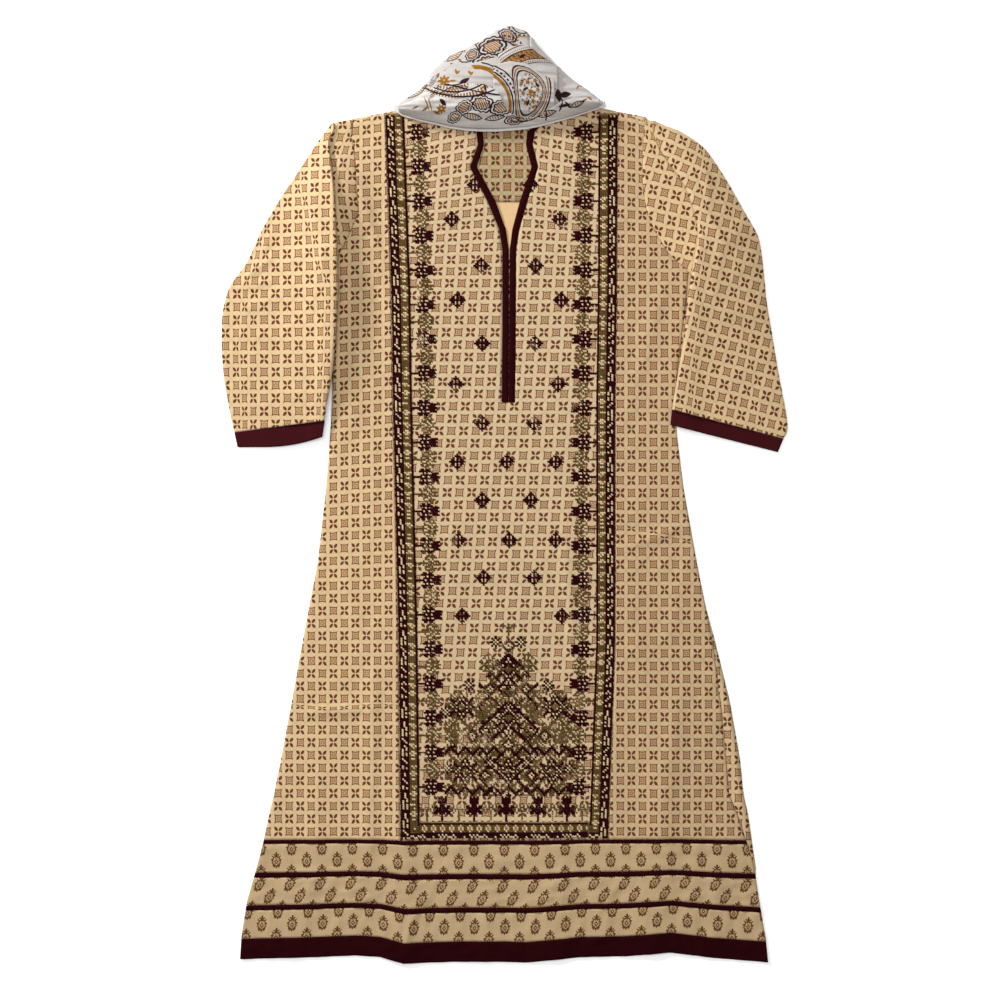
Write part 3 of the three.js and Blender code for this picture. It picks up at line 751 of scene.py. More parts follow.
def centre_grid():
    heights = np.concatenate([row_heights(PANEL_FOOT, SLIT_FOOT), row_heights(SLIT_FOOT, NECK_TOP)[1:]])
    drop = shoulder_drop(heights)
    at_neck = np.maximum(heights, SLIT_FOOT)
    left_cut = read(NECK, at_neck, LEFT_SEAM) - SEAM_GAP
    right_cut = read(NECK, at_neck, RIGHT_SEAM) + SEAM_GAP
    left = centre_edge(heights - drop, 0)
    right = centre_edge(heights - drop, 1)
    half_share = np.linspace(0, 1, HALF_CELLS + 1)
    slit_share = np.linspace(0, 1, SLIT_CELLS + 1)[1:-1]
    x_left = left[:, None] + (left_cut - left)[:, None] * half_share
    x_slit = left_cut[:, None] + (right_cut - left_cut)[:, None] * slit_share
    x_right = right_cut[:, None] + (right - right_cut)[:, None] * half_share
    y_left = heights[:, None] - drop[:, None] * (1 - half_share)
    y_slit = np.repeat(heights[:, None], len(slit_share), axis=1)
    y_right = heights[:, None] - drop[:, None] * half_share
    x = np.concatenate([x_left, x_slit, x_right], axis=1)
    y = np.concatenate([y_left, y_slit, y_right], axis=1)
    y = y + wave_at(x, y)
    keep = np.ones((len(heights) - 1, x.shape[1] - 1), dtype=bool)
    above = heights[:-1] >= SLIT_FOOT - 0.01
    keep[np.ix_(above, range(HALF_CELLS, HALF_CELLS + SLIT_CELLS))] = False
    return x, y, keep


def panel_height(x, y):
    return front_floor(x, y) + SHELL


x, y, keep = centre_grid()
height = panel_height(x, y) + crumple(x, y, 10, 0.34)
lean_to_neck = 0.19 * np.abs(x - 5) * smooth(255, 430, y)
u = x + 15.1 + 7.65 - 0.07 * (y - 156)
v = y - 156.5 + 23.1 + lean_to_neck
centre_panel = cloth_piece("front_centre_panel", laid(x, y, height), np.stack([u, v], axis=2),
                           panel_cotton, keep=keep)
declare(centre_panel, "front_centre_panel", "printed_cotton", x, y, rests_on=["back_panel"], keep=keep)

# %% [markdown]
# Three pale bands, three narrow stripes and a hem band close the foot of the front. They are sewn one
# under the other, so a stripe stands up a little and each band puckers along its seam.

# %% Bands and stripes
DEEPEST_PUCKER = -0.35  # a deeper one would let the back panel through
SKIRT_LINES = [  # name, top, foot, slot
    ("front_stripe_1", -432.3, -437, "maroon_cotton"), ("front_band_1", -437.3, -473, "booti_cotton"),
    ("front_stripe_2", -473.3, -479.5, "maroon_cotton"), ("front_band_2", -479.8, -514, "booti_cotton"),
    ("front_stripe_3", -514.3, -520.5, "maroon_cotton"), ("front_band_3", -520.8, -556, "booti_cotton"),
    ("front_hem_band", -556.3, -581.5, "maroon_cotton"),
]
BAND_PRINT = {  # where one sprig stands, and how far the print leans
    "front_band_1": (18.75, -458.5, 0.0), "front_band_2": (10.4, -503.6, 0.42),
    "front_band_3": (0.6, -538.5, 0.08),
}


def skirt_line(name, top, foot, slot):
    stripe = slot == "maroon_cotton"
    steps = max(3, int(round((top - foot) / 2.6)))
    heights = np.linspace(foot, top, steps + 1)
    x, y = between(heights, np.linspace(0, 1, 230), body_edge(heights, 0), body_edge(heights, 1))
    y = y + wave_at(x, y)
    depth = (heights - foot) / (top - foot)
    round_top = np.sin(np.pi * np.clip(depth, 0.06, 0.94)) ** 0.5
    pucker = crumple(x, y, 12, 1.0, 12, 46)
    height = panel_height(x, y) + np.maximum(pucker, DEEPEST_PUCKER)
    seam_pucker = np.exp(-((1 - depth) / 0.2) ** 2)[:, None]
    height = height + 0.25 * seam_pucker * np.sin(x * 0.55 + 2 * np.sin(x * 0.09))
    if name != "front_hem_band" and stripe:
        height = height + 0.8 * round_top[:, None]
    if name == "front_hem_band":
        height = height + 0.25 * np.sin(x * 0.21) * (1 - depth[:, None])
    sprig_x, sprig_y, lean = BAND_PRINT.get(name, (0, 0, 0))
    v = np.repeat(heights[:, None], x.shape[1], axis=1) - sprig_y
    u = x - sprig_x - lean * v
    uv = np.stack([u + CELL_WIDE / 2, v + CELL_TALL / 2], axis=2)
    material = maroon_cotton if stripe else band_cotton_painted_shade
    cloth = cloth_piece(name, laid(x, y, height), uv, material)
    declare(cloth, name, slot, x, y, rests_on=["back_panel"])


for line in SKIRT_LINES:
    skirt_line(*line)

# %% [markdown]
# A bias strip binds the neck. It is folded over the cut edge, so it stands a little proud, with a line
# of stitching near its seam.

# %% Neck binding


def binding(name, cut_column, fold_column):
    heights = row_heights(SLIT_FOOT, NECK_TOP, 2.5)
    cut = read(NECK, heights, cut_column)
    fold = read(NECK, heights, fold_column) + SEAM_GAP * (1 if cut_column == LEFT_SEAM else -1)
    shares = np.linspace(0, 1, 9)
    x, y = between(heights, shares, cut, fold)
    y = y + 0.3
    puff = np.sin(np.pi * np.clip(shares, 0.02, 0.98)) ** 0.6
    groove = np.exp(-((shares - 0.2) / 0.07) ** 2) * 0.35
    height = front_floor(x, y) + 0.9 + (puff * 1.0 - groove)[None, :] * np.ones_like(x)
    height = height + 0.12 * np.sin(y * 0.35 + x * 0.2)
    flip = cut[0] > fold[0]
    uv = np.stack([x, y], axis=2)
    cloth = cloth_piece(name, laid(x, y, height), uv, maroon_cotton, 0.8, flip=flip)
    cut_x, cut_y = straightened(x, y)
    declare(cloth, name, "maroon_cotton", cut_x, cut_y, held="folded", rests_on=["front_centre_panel"])


binding("neck_binding_left", LEFT_SEAM, LEFT_FOLD)
binding("neck_binding_right", RIGHT_SEAM, RIGHT_FOLD)

# %% [markdown]
# A folded sleeve is a flattened tube. Its section runs from the back seam under to the outer fold, over
# the top to the inner fold, laps back and ends at the front seam. The same section is read at every
# row of the table and the rows are joined by a smooth curve.

# %% Sleeves
SLEEVE_LEFT = [  # outer x, outer y, fold x, fold y, lap, seam y or None below the underarm
    (-217, 463, -214, 464.5, 3, 469.5), (-221, 458, -213, 456, 3, 462),
    (-235, 439, -219, 440, 5, 452), (-254, 410, -216, 414, 9, 431),
    (-283, 366, -211, 374, 11, 388), (-304, 330, -209, 342, 9, 353), (-316, 303, -207.5, 317, 7, 324),
    (-325, 286, -207, 296, 6, 299), (-343, 261, -206, 262, 5, None), (-352, 231, -207, 233, 5, None),
    (-354, 193, -209, 196, 5, None), (-351, 146, -214, 149, 5, None), (-343, 100, -221, 112, 5, None),
    (-338, 78, -224, 92, 5, None),
]
SLEEVE_RIGHT = [
    (188, 467.5, 183, 466.5, 2, 470.5), (200, 462, 186, 452, 2, 464),
    (223, 452.5, 191, 437, 3, 452), (250, 433, 203, 416, 4, 431),
    (277, 394, 223, 386, 5, 388), (299, 355, 236, 352, 6, 353), (316, 325, 241, 326, 7, 324),
    (321, 304, 238, 304, 7, 299), (325, 270, 232.5, 274, 6, None), (328, 240, 227.5, 240, 5, None),
    (334, 204, 224, 200, 5, None), (342, 156, 216, 150, 5, None), (354, 88, 211, 120, 5, None),
    (349, 70, 209, 106, 5, None),
]
CUFF_LEFT = [(-337.9, 77.7, -224, 91.7, 5, None), (-334, 59, -227, 72, 5, None)]
CUFF_RIGHT = [(348.9, 69.7, 208.9, 105.7, 5, None), (342, 53, 207, 87, 5, None)]
OVER_BODY = 2.9
# The columns of a section: the seam and the underside, a turn, the top, a turn, the lap, a turn back.
UNDER_STEPS = 14
TURN_STEPS = 5
TOP_STEPS = 44
TOP_START = 1 + UNDER_STEPS + TURN_STEPS
TOP_END = TOP_START + TOP_STEPS
TURN_END = TOP_END + TURN_STEPS
OUTER_FOLD = TOP_START - 3
INNER_FOLD = TOP_END + 2
BACK_STEPS = 14
LAP_TURN = 3


def sleeve_section(row, side):
    """Points along one section, with the cloth length walked so far from the outer fold."""
    inward = INWARD[side]
    outer = np.array(row[:2], float)
    inner = np.array(row[2:4], float)
    lap, seam_y = row[4], row[5]
    width = float(np.linalg.norm(inner - outer))
    across = (inner - outer) / width
    turn = LAYER / 2
    if seam_y is None:
        seam = inner - across * 2
        seam_at = width - 2
    else:
        seam = np.array([float(body_edge(seam_y, side)) - inward * 0.06, seam_y])
        seam_at = width + float(np.linalg.norm(seam - inner))

    def place(s):
        if seam_y is None or s <= width:
            return outer + across * s
        return inner + (seam - inner) * (s - width) / (seam_at - width)

    def under(s):
        point = place(s)
        if point[1] > 306:
            return 0.0
        over_body = inward * (point[0] - float(body_edge(min(point[1], ARMHOLE_FOOT), side)))
        return float(OVER_BODY * smooth(-34, -6, over_body))

    path = [(seam_at, 0.0)]
    path += [(width * k, 0.0) for k in np.linspace(0.93, 0.06, UNDER_STEPS)]
    half_turn = np.linspace(0.4, math.pi - 0.4, TURN_STEPS)
    path += [(turn - turn * math.sin(a), 0.5 - 0.5 * math.cos(a)) for a in half_turn]
    shares = np.linspace(0.03, 0.975, TOP_STEPS)
    path += [(width * k, 1 + 2 * float(smooth(0, 0.75, k))) for k in shares]
    path += [(width - turn + turn * math.sin(a), 2.5 + 0.5 * math.cos(a)) for a in half_turn]
    lap_end = width - turn - lap
    path += [(width - turn - lap * k, 2.0) for k in (0.35, 0.7)]
    lap_turn = np.linspace(0.4, 2.7, LAP_TURN)
    path += [(lap_end + turn - turn * math.sin(a), 1.5 + 0.5 * math.cos(a)) for a in lap_turn]
    back_run = np.linspace(0.06, 1, BACK_STEPS)
    path += [(lap_end + turn + (seam_at - lap_end - turn) * k, 1.0) for k in back_run]
    s = np.array([p[0] for p in path])
    layer = np.array([p[1] for p in path])
    flat = np.array([place(value) for value in s])
    lift = np.array([under(value) for value in s])
    z = 0.5 + layer * LAYER + lift
    points = np.column_stack([flat, z])
    walked = np.concatenate([[0], np.cumsum(np.linalg.norm(np.diff(points, axis=0), axis=1))])
    return points, walked


def curve_rows(stack, places):
    """Catmull-Rom between the rows of a table, at fractional places."""
    count = len(stack)
    first = np.clip(np.floor(places).astype(int), 0, count - 2)
    t = (places - first)[:, None, None]
    before = stack[np.clip(first - 1, 0, count - 1)]
    a, b = stack[first], stack[first + 1]
    after = stack[np.clip(first + 2, 0, count - 1)]
    return 0.5 * (2 * a + (b - before) * t + (2 * before - 5 * a + 4 * b - after) * t ** 2
                  + (3 * a - before - 3 * b + after) * t ** 3)


PUFF = {50: 1.5, 90: 3.5, 160: 8.0, 250: 13.0, 340: 13.0, 400: 10.0, 440: 5.0, 460: 1.5}
SLEEVE_CREASES = [  # on the top layer: x, y, lean, half length, half width, rise
    [(-262, 295, 62, 44, 9, 1.6), (-306, 284, 52, 36, 6, 2.2), (-312, 262, 80, 30, 6, 1.8),
     (-302, 305, 30, 40, 6, 1.6), (-230, 330, -8, 110, 8, 1.4),
     (-236, 190, 4, 120, 7, -1.0), (-232, 265, 12, 60, 6, 1.2), (-300, 240, 70, 50, 9, 1.1),
     (-290, 200, 84, 60, 12, 0.7), (-275, 120, 78, 70, 12, 0.8), (-320, 150, 10, 60, 10, 0.6),
     (-250, 385, 30, 50, 10, 0.8), (-330, 200, 20, 50, 6, 0.5)],
    [(250, 350, -32, 60, 7, 1.6), (252, 385, -4, 36, 6, 1.5), (292, 330, 40, 46, 10, 0.9),
     (262, 270, 10, 70, 8, 1.2), (300, 230, 80, 50, 12, 0.9), (245, 200, -10, 80, 8, 0.9),
     (290, 150, 62, 70, 12, 0.8), (320, 120, 20, 50, 10, 0.6), (232, 425, -40, 46, 7, 0.9),
     (300, 285, 55, 34, 7, 0.8), (240, 140, -4, 60, 9, 0.7)],
]
PLEATS = [  # y: x of a narrow pleat that swallows cloth, its width and how much it swallows
    [({387: -256, 336: -242, 286: -231, 253: -219, 170: -224, 81: -233}, 7, 9),
     ({318: -303, 256: -324, 181: -333, 93: -327}, 7, 7),
     ({318: -293, 256: -306, 200: -316, 90: -316}, 5, 3)],
    [({330: 285, 270: 288, 200: 300, 90: 318}, 9, 4), ({300: 247, 240: 240, 90: 232}, 7, 7)],
]


SWING = math.radians(13.5)  # the right sleeve's print is turned by this
CAP_SWING = math.radians(9)  # and by this much more on its cap
SWING_X, SWING_Y = 235, 405


def sleeve(name, table, side, material, slot, shift, cuff=False):
    """A flattened tube: the rows of its table are joined by a smooth curve, then creased and puffed."""
    sections = [sleeve_section(row, side) for row in table]
    stack = np.array([section[0] for section in sections])
    walked = np.array([section[1] for section in sections])
    outer_at = walked[:, OUTER_FOLD]
    lengths = np.linalg.norm(np.diff(stack[:, OUTER_FOLD, :2], axis=0), axis=1)
    along = np.concatenate([[0], np.cumsum(lengths)])
    step = 2.6 if cuff else 3.2
    wanted = np.linspace(0, along[-1], max(4, int(along[-1] / step)) + 1)
    places = np.interp(wanted, along, np.arange(len(table)))
    points = curve_rows(stack, places)
    floor_row = np.floor(places).astype(int).clip(0, len(table) - 2)
    share = (places - floor_row)[:, None, None]
    straight = stack[floor_row] * (1 - share) + stack[floor_row + 1] * share
    points[:, -9:] = straight[:, -9:]
    points[:, 0] = straight[:, 0]
    path = curve_rows((walked - outer_at[:, None])[:, :, None], places)[:, :, 0]
    if name == "cuff_left":
        dip = np.sin(np.pi * np.clip((points[:, :, 0] + 334) / 107, 0, 1) ** 1.2)
        points[:, :, 1] -= 5.5 * dip * np.linspace(0, 1, len(points))[:, None]
    x, y = points[:, :, 0], points[:, :, 1]
    columns = np.arange(points.shape[1])
    top = ((columns >= TOP_START) & (columns < TOP_END)).astype(float)
    top[TOP_START:TOP_START + 4] *= np.linspace(0.2, 1, 4)
    top[TOP_END - 4:TOP_END] *= np.linspace(1, 0.5, 4)
    relief = ridge_height(x, y, SLEEVE_CREASES[side]) + crumple(x, y, 12, 0.34, 16, 55)
    if not cuff:
        fade = np.minimum(1, np.minimum(wanted, wanted[-1] - wanted + 8) / 24)[:, None]
        points[:, :, 2] += np.maximum(relief, -0.8) * top[None, :] * fade
    if side == 0:
        swell = side_swell(x, y)
        swell[:, TOP_START:TURN_END] = side_swell(x, y, -290)[:, TOP_START:TURN_END]
        points[:, :, 2] += swell
    if not cuff:
        puff = read(PUFF, y[:, TOP_START + 20])[:, None]
        roll = np.zeros(points.shape[1])
        roll[TOP_START:TOP_END] = np.linspace(0, 1, TOP_STEPS) ** (1.5, 0.8)[side]
        roll[TOP_END:TURN_END] = (0.96, 0.8, 0.55, 0.3, 0.1)
        belly = np.zeros(points.shape[1])
        belly[TOP_START - 2:TOP_END] = np.sin(np.pi * np.linspace(0.02, 0.95, TOP_STEPS + 2)) ** 0.7
        roll[-LAP_TURN - BACK_STEPS:] = np.linspace((0.8, 0.2)[side], 0, LAP_TURN + BACK_STEPS)
        points[:, :, 2] += puff * (roll + (0.15, 0.3)[side] * belly)[None, :]
    inner_walk = path[:, INNER_FOLD][:, None]
    over_top = np.clip(path, 0, inner_walk)
    beyond = np.maximum(path - inner_walk, 0)
    x_outer = points[:, OUTER_FOLD, 0][:, None]
    inward = INWARD[side]
    u = x_outer + inward * (over_top + beyond + np.minimum(path, 0))
    v = y.copy()
    if not cuff:
        for line, half, swallowed in PLEATS[side]:
            u = u + inward * swallowed * smooth(-half, half, inward * (x - read(line, y)))
    if side == 1 and not cuff:
        cap = smooth(300, 380, y) * (1 - smooth(225, 275, x)) * (1 - smooth(0, 6, beyond))
        swing = SWING + CAP_SWING * cap
        off_u, off_v = u - SWING_X, v - SWING_Y
        u = off_u * np.cos(swing) - off_v * np.sin(swing)
        v = off_u * np.sin(swing) + off_v * np.cos(swing)
    uv = np.stack([u + shift[0], v + shift[1]], axis=2)
    cloth = cloth_piece(name, points + np.array([0, 0, 0.35]), uv, material, 0.6, flip=(side == 0))
    flat_y = np.repeat(-wanted[:, None], points.shape[1], axis=1)
    under_it = "front_side_panel_" + SIDES[side]
    declare(cloth, name, slot, path, flat_y, held="folded", rests_on=["floor", under_it])


sleeve("sleeve_left", SLEEVE_LEFT, 0, sleeve_cotton, "printed_cotton", (3, 2))
sleeve("sleeve_right", SLEEVE_RIGHT, 1, sleeve_cotton, "printed_cotton", (0, 0))
sleeve("cuff_left", CUFF_LEFT, 0, cuff_cotton_painted_light, "maroon_cotton", (0, 0), cuff=True)
sleeve("cuff_right", CUFF_RIGHT, 1, cuff_cotton_painted_light, "maroon_cotton", (0, 0), cuff=True)

# %% [markdown]
# Strips of dense embroidery frame the centre panel. Their ground is a thin strip of cloth, and the
# stitches on it are made below.

# %% Border strips
BORDER_SHELL = 0.4
BORDER_STEP = 2.28  # from one stitch of a border to the next
border_ground = woven("border_ground", (150, 118, 84), (92, 62, 50), (0.9, 0.4))


def panel_line(side, shares):
    """Points of the centre panel's left or right half, at shares of a border's width in mm."""
    heights = row_heights(PANEL_FOOT + 3, NECK_TOP - 1)
    drop = shoulder_drop(heights)
    seam = centre_edge(heights - drop, side) + INWARD[side]
    x = seam[:, None] + INWARD[side] * shares[None, :] * BORDER_WIDTH
    y = np.repeat((heights - drop)[:, None], len(shares), axis=1)
    return x, y + wave_at(x, y)


def border_height(x, y):
    return panel_height(x, y) + 0.55


def border_strip(side):
    """The ground of a border between its two edges."""
    x, y = panel_line(side, np.linspace(0, 1, 8))
    name = "embroidered_border_" + SIDES[side]
    cloth = cloth_piece(name, laid(x, y, border_height(x, y)), np.stack([x, y], axis=2), border_ground,
                        BORDER_SHELL, flip=(side == 1))
    declare(cloth, name, "embroidery", x, y, rests_on=["front_centre_panel"])


for side in (0, 1):
    border_strip(side)

FOOT_INSET = 24.3
foot_y = row_heights(PANEL_FOOT + 3, PANEL_FOOT + 23, 3)
foot_start, foot_end = centre_edge(foot_y, 0) + FOOT_INSET, centre_edge(foot_y, 1) - FOOT_INSET
x, y = between(foot_y, np.linspace(0, 1, 70), foot_start, foot_end)
y = y + wave_at(x, y)
foot = cloth_piece("embroidered_border_foot", laid(x, y, border_height(x, y)), np.stack([x, y], axis=2),
                   border_ground, BORDER_SHELL)
declare(foot, "embroidered_border_foot", "embroidery", x, y, rests_on=["front_centre_panel"])

# %% [markdown]
# The embroidery is counted cross-stitch. Each motif is a chart: one letter is one stitch, m maroon,
# o olive, c cream, n tan and a dot bare cloth. A stitch is two short ridges of thread that cross.

# %% Stitch charts
STITCH = 2.25
MAROON_FLOWER = """
..m.m.m..
..mmmmm..
..mmmmm..
..mmmmm..
...mmm...
mm.mmm.mm
mmmmmmmmm
.mmmmmmm.
mmmmmmmmm
mm.mmm.mm
....m....
....m....
....m....
....m...."""
SIDE_FLOWER = """
..m.m.m..
..mmmmm..
..mmmmm..
..mmmmm..
.m.mmm.m.
mm.mcm.mm
mmmmmmmmm
.mcmmmcm.
mmmmcmmmm
mm.mmm.mm
.m..m..m.
....m....
....m....
....m...."""
SIDE_SPRIG = """
....o.o....
..o.ooo.o..
.oo.o.o.oo.
o.oo.o.oo.o
.oo.ooo.oo.
oo.oo.oo.oo
.o.o.o.o.o.
..oo.o.oo..
....ooo....
.....o.....
.....o.....
.....o.....
.....o....."""
FOOT_SPRIG = """
.o...o...o.
o.o.o.o.o.o
.oo.ooo.oo.
oo.oo.oo.oo
.o.o.o.o.o.
..o..o..o..
.....o.....
.....o.....
.....o.....
.....o....."""
DIAMOND = """
....m....
...mmm...
..m.m.m..
.mm.m.mm.
mmmmmmmmm
.mm.m.mm.
..m.m.m..
...mmm...
....m...."""
THREADS = {"m": (46, 5, 12), "o": (98, 76, 40), "c": (214, 190, 146), "n": (166, 112, 76)}
AIRY = {"o": 0.82}  # the olive thread covers less of the cloth

thread_look, tree, shader = new_look("embroidery_thread", Roughness=0.8, Specular_IOR_Level=0.03)
attribute = tree.nodes.new("ShaderNodeAttribute")
attribute.attribute_name = "thread_colour"
tree.links.new(attribute.outputs["Color"], shader.inputs["Base Color"])


def chart_points(chart, x, y, turn=0, mirror=False):
    """Stitches of a chart whose foot stands at x, y, turned in degrees about that foot."""
    rows = chart.strip("\n").split("\n")
    middle = (len(rows[0]) - 1) / 2
    angle = math.radians(turn)
    stitches = []
    for up, row in enumerate(reversed(rows)):
        for column, letter in enumerate(row):
            if letter == ".":
                continue
            across = (column - middle) * STITCH * (-1 if mirror else 1)
            along = (up + 0.5) * STITCH
            stitches.append((x + across * math.cos(angle) - along * math.sin(angle),
                             y + across * math.sin(angle) + along * math.cos(angle), letter))
    return stitches


def stitch_piece(name, stitches, height_at, size=STITCH, airy=True):
    """All stitches of one piece as a mesh of small closed ridges, with the thread's colour on it."""
    places = np.array([(s[0], s[1]) for s in stitches], float)
    generator = np.random.default_rng(len(stitches))
    places = places + generator.normal(0, 0.09, places.shape)
    base = height_at(places[:, 0], places[:, 1])
    colours = np.array([srgb(*THREADS[s[2]])[:3] for s in stitches])
    colours = colours * generator.uniform(0.78, 1.22, (len(stitches), 1))
    thin = np.array([AIRY.get(s[2], 1.0) if airy else 1.0 for s in stitches])[:, None]
    half = size * 0.74 * thin
    profile = np.array([(-1, -1, 0), (-1, 1, 0), (-0.7, 0, 1), (1, -1, 0), (1, 1, 0), (0.7, 0, 1)], float)
    quads = np.array([(0, 3, 5, 2), (1, 2, 5, 4), (0, 1, 4, 3)])
    ends = np.array([(0, 2, 1), (3, 4, 5)])
    vertices, loops, tint = [], [], []
    count = len(stitches)
    for number, slant in enumerate((45, -45)):
        angle = np.radians(slant + generator.normal(0, 5, count))
        along = profile[None, :, 0] * half
        width = profile[None, :, 1] * size * 0.36 * thin
        rise = profile[None, :, 2] * 0.5 + number * 0.22
        x = places[:, 0:1] + along * np.cos(angle)[:, None] - width * np.sin(angle)[:, None]
        y = places[:, 1:2] + along * np.sin(angle)[:, None] + width * np.cos(angle)[:, None]
        z = base[:, None] - 0.1 + rise
        vertices.append(np.stack([x, y, np.broadcast_to(z, x.shape)], axis=2).reshape(-1, 3))
        first = (np.arange(count) * 6 + number * count * 6)[:, None, None]
        loops.append(((quads[None] + first).reshape(-1), (ends[None] + first).reshape(-1)))
        tint.append(np.repeat(colours, 6, axis=0))
    corner = np.concatenate([loops[0][0], loops[1][0], loops[0][1], loops[1][1]])
    sizes = np.concatenate([np.full(count * 6, 4), np.full(count * 4, 3)])
    mesh = bpy.data.meshes.new(name)
    points = np.concatenate(vertices) * MM
    mesh.vertices.add(len(points))
    mesh.vertices.foreach_set("co", points.astype(np.float32).ravel())
    mesh.loops.add(len(corner))
    mesh.loops.foreach_set("vertex_index", corner.astype(np.int32))
    mesh.polygons.add(len(sizes))
    starts = np.concatenate([[0], np.cumsum(sizes)[:-1]])
    mesh.polygons.foreach_set("loop_start", starts.astype(np.int32))
    mesh.polygons.foreach_set("loop_total", sizes.astype(np.int32))
    mesh.update(calc_edges=True)
    colour_layer = mesh.attributes.new("thread_colour", "FLOAT_COLOR", "POINT")
    rgba = np.column_stack([np.concatenate(tint), np.ones(len(points))])
    colour_layer.data.foreach_set("color", rgba.astype(np.float32).ravel())
    mesh.polygons.foreach_set("use_smooth", np.ones(len(sizes), dtype=bool))
    piece = bpy.data.objects.new(name, mesh)
    scene.collection.objects.link(piece)
    mesh.materials.append(thread_look)
    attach(piece, "root")
    print(name, count, "stitches")


# %% [markdown]
# Border: a maroon line, a broken lattice of cream on maroon, a second line, an olive band with small
# cream stars, and a third line. Each row of stitches takes the next row of the lattice and of the band.

# %% Border stitches
LATTICE = ["cmm", "cmc", "mcm", "mmm", "cmc", "mcm", "mmc", "cmm", "mmm", "mcm", "cmc", "mmm", "cmm",
           "mmc", "cmc", "mmm", "mcm"]
FOOT_STARS = ["oooo", "occo", "cnnc", "occo", "oooo"]
BORDER_START = 3.2
STAR_BAND = ["oooo", "occo", "cncc", "occo", "oooo", "ooco", "ocnc", "ccco", "oooo", "oooo", "occo"]


def border_row(number):
    band = STAR_BAND[number % len(STAR_BAND)]
    if number % 23 in (6, 7, 17):
        band = "oooo"
    return "m" + LATTICE[(number * 3 + number // 17) % len(LATTICE)] + "m" + band + "m"


def corner_letter(turned, column):
    """Where a side border reaches the foot its pattern turns and runs along the foot."""
    if turned < 4:
        return "cmmc"[(column + 2 * turned) % 4]
    return "m" if turned in (4, 9) else "o"


def border_stitches(side):
    inward = INWARD[side]
    stitches = []
    count = int((NECK_TOP - 2 - PANEL_FOOT - BORDER_START) / BORDER_STEP)
    for number in range(count):
        height = PANEL_FOOT + BORDER_START + number * BORDER_STEP
        drop = float(shoulder_drop(height))
        row = border_row(number + side * 5)
        seam = float(centre_edge(height - drop, side)) + inward
        for column, letter in enumerate(row):
            if number + 2 < column:
                letter = corner_letter(number + 2, column)
            x = seam + inward * (column + 0.5) * BORDER_WIDTH / len(row)
            y = height - drop
            stitches.append((x, y + float(wave_at(x, y)), letter))
    return stitches


def foot_border_stitches():
    left = float(centre_edge(PANEL_FOOT, 0)) + 24.5
    right = float(centre_edge(PANEL_FOOT, 1)) - 24.5
    stitches = []
    for number in range(int((right - left) / BORDER_STEP)):
        x = left + number * BORDER_STEP + 1
        lattice = LATTICE[(number * 5) % len(LATTICE)][:2]
        band = FOOT_STARS[number % len(FOOT_STARS)]
        for up, letter in enumerate(lattice + "m" + band + "m"):
            y = PANEL_FOOT + 4.2 + up * 2.3
            stitches.append((x, y + float(wave_at(x, y)), letter))
    return stitches


for side in (0, 1):
    stitch_piece("border_stitches_" + SIDES[side], border_stitches(side), border_height, BORDER_STEP,
                 airy=False)
stitch_piece("border_stitches_foot", foot_border_stitches(), border_height, BORDER_STEP, airy=False)

# %% [markdown]
# Maroon flowers grow inward from each border, with an olive sprig between each two. Five more stand
# along the foot, and small diamonds are strewn over the rest of the panel in a half-drop.

# %% Flowers, sprigs and diamonds
FLOWER_TOP = 453
FLOWER_PITCH = 43.1
UPPER_FLOWERS = 20


def flower_row(side):
    inward = INWARD[side]
    stitches = []
    for number in range(UPPER_FLOWERS):
        y = FLOWER_TOP - number * FLOWER_PITCH
        seam = float(centre_edge(y, side)) + inward * (BORDER_WIDTH + 1)
        stitches += chart_points(SIDE_FLOWER, seam, y, -90 * inward, mirror=number % 2 == 0)
        between_y = y - FLOWER_PITCH / 2
        if number < UPPER_FLOWERS - 1:
            seam = float(centre_edge(between_y, side)) + inward * (BORDER_WIDTH + 1)
            stitches += chart_points(SIDE_SPRIG, seam, between_y, -90 * inward)
    return stitches


for side in (0, 1):
    stitch_piece("side_flowers_" + SIDES[side], flower_row(side), panel_height)

foot_flowers = []
FOOT_LINE = PANEL_FOOT + 23
for x in (-78, -38, 2, 42, 78):
    foot_flowers += chart_points(MAROON_FLOWER, x, FOOT_LINE)
for x in (-97, -57, -17, 22, 60, 97):
    foot_flowers += chart_points(FOOT_SPRIG, x, FOOT_LINE + 1)
stitch_piece("foot_flowers", foot_flowers, panel_height)

DIAMOND_ROWS = [  # y, then the x of each diamond
    (387, (-37, 33)), (344, (-66, 69)), (286, (-29, 39)), (243, (-59, 71)), (189, (-28, 38)),
    (138, (-61, 67)), (89, (-28, 37)), (41, (-59, 3, 64)), (-7, (-28, 33)), (-57, (-58, 6, 64)),
    (-104, (-26, 37)), (-152, (-53, 72)),
]
HALF_DIAMOND = 4.5 * STITCH
diamonds = []
for y, places in DIAMOND_ROWS:
    for x in places:
        diamonds += chart_points(DIAMOND, x, y - HALF_DIAMOND)
stitch_piece("diamonds", diamonds, panel_height)

# %% [markdown]
# The rich piece above the foot is a plain generic design of our own: rows of stepped diamonds, stars
# and little trees that narrow to the top, mirrored about the middle, in the same threads.

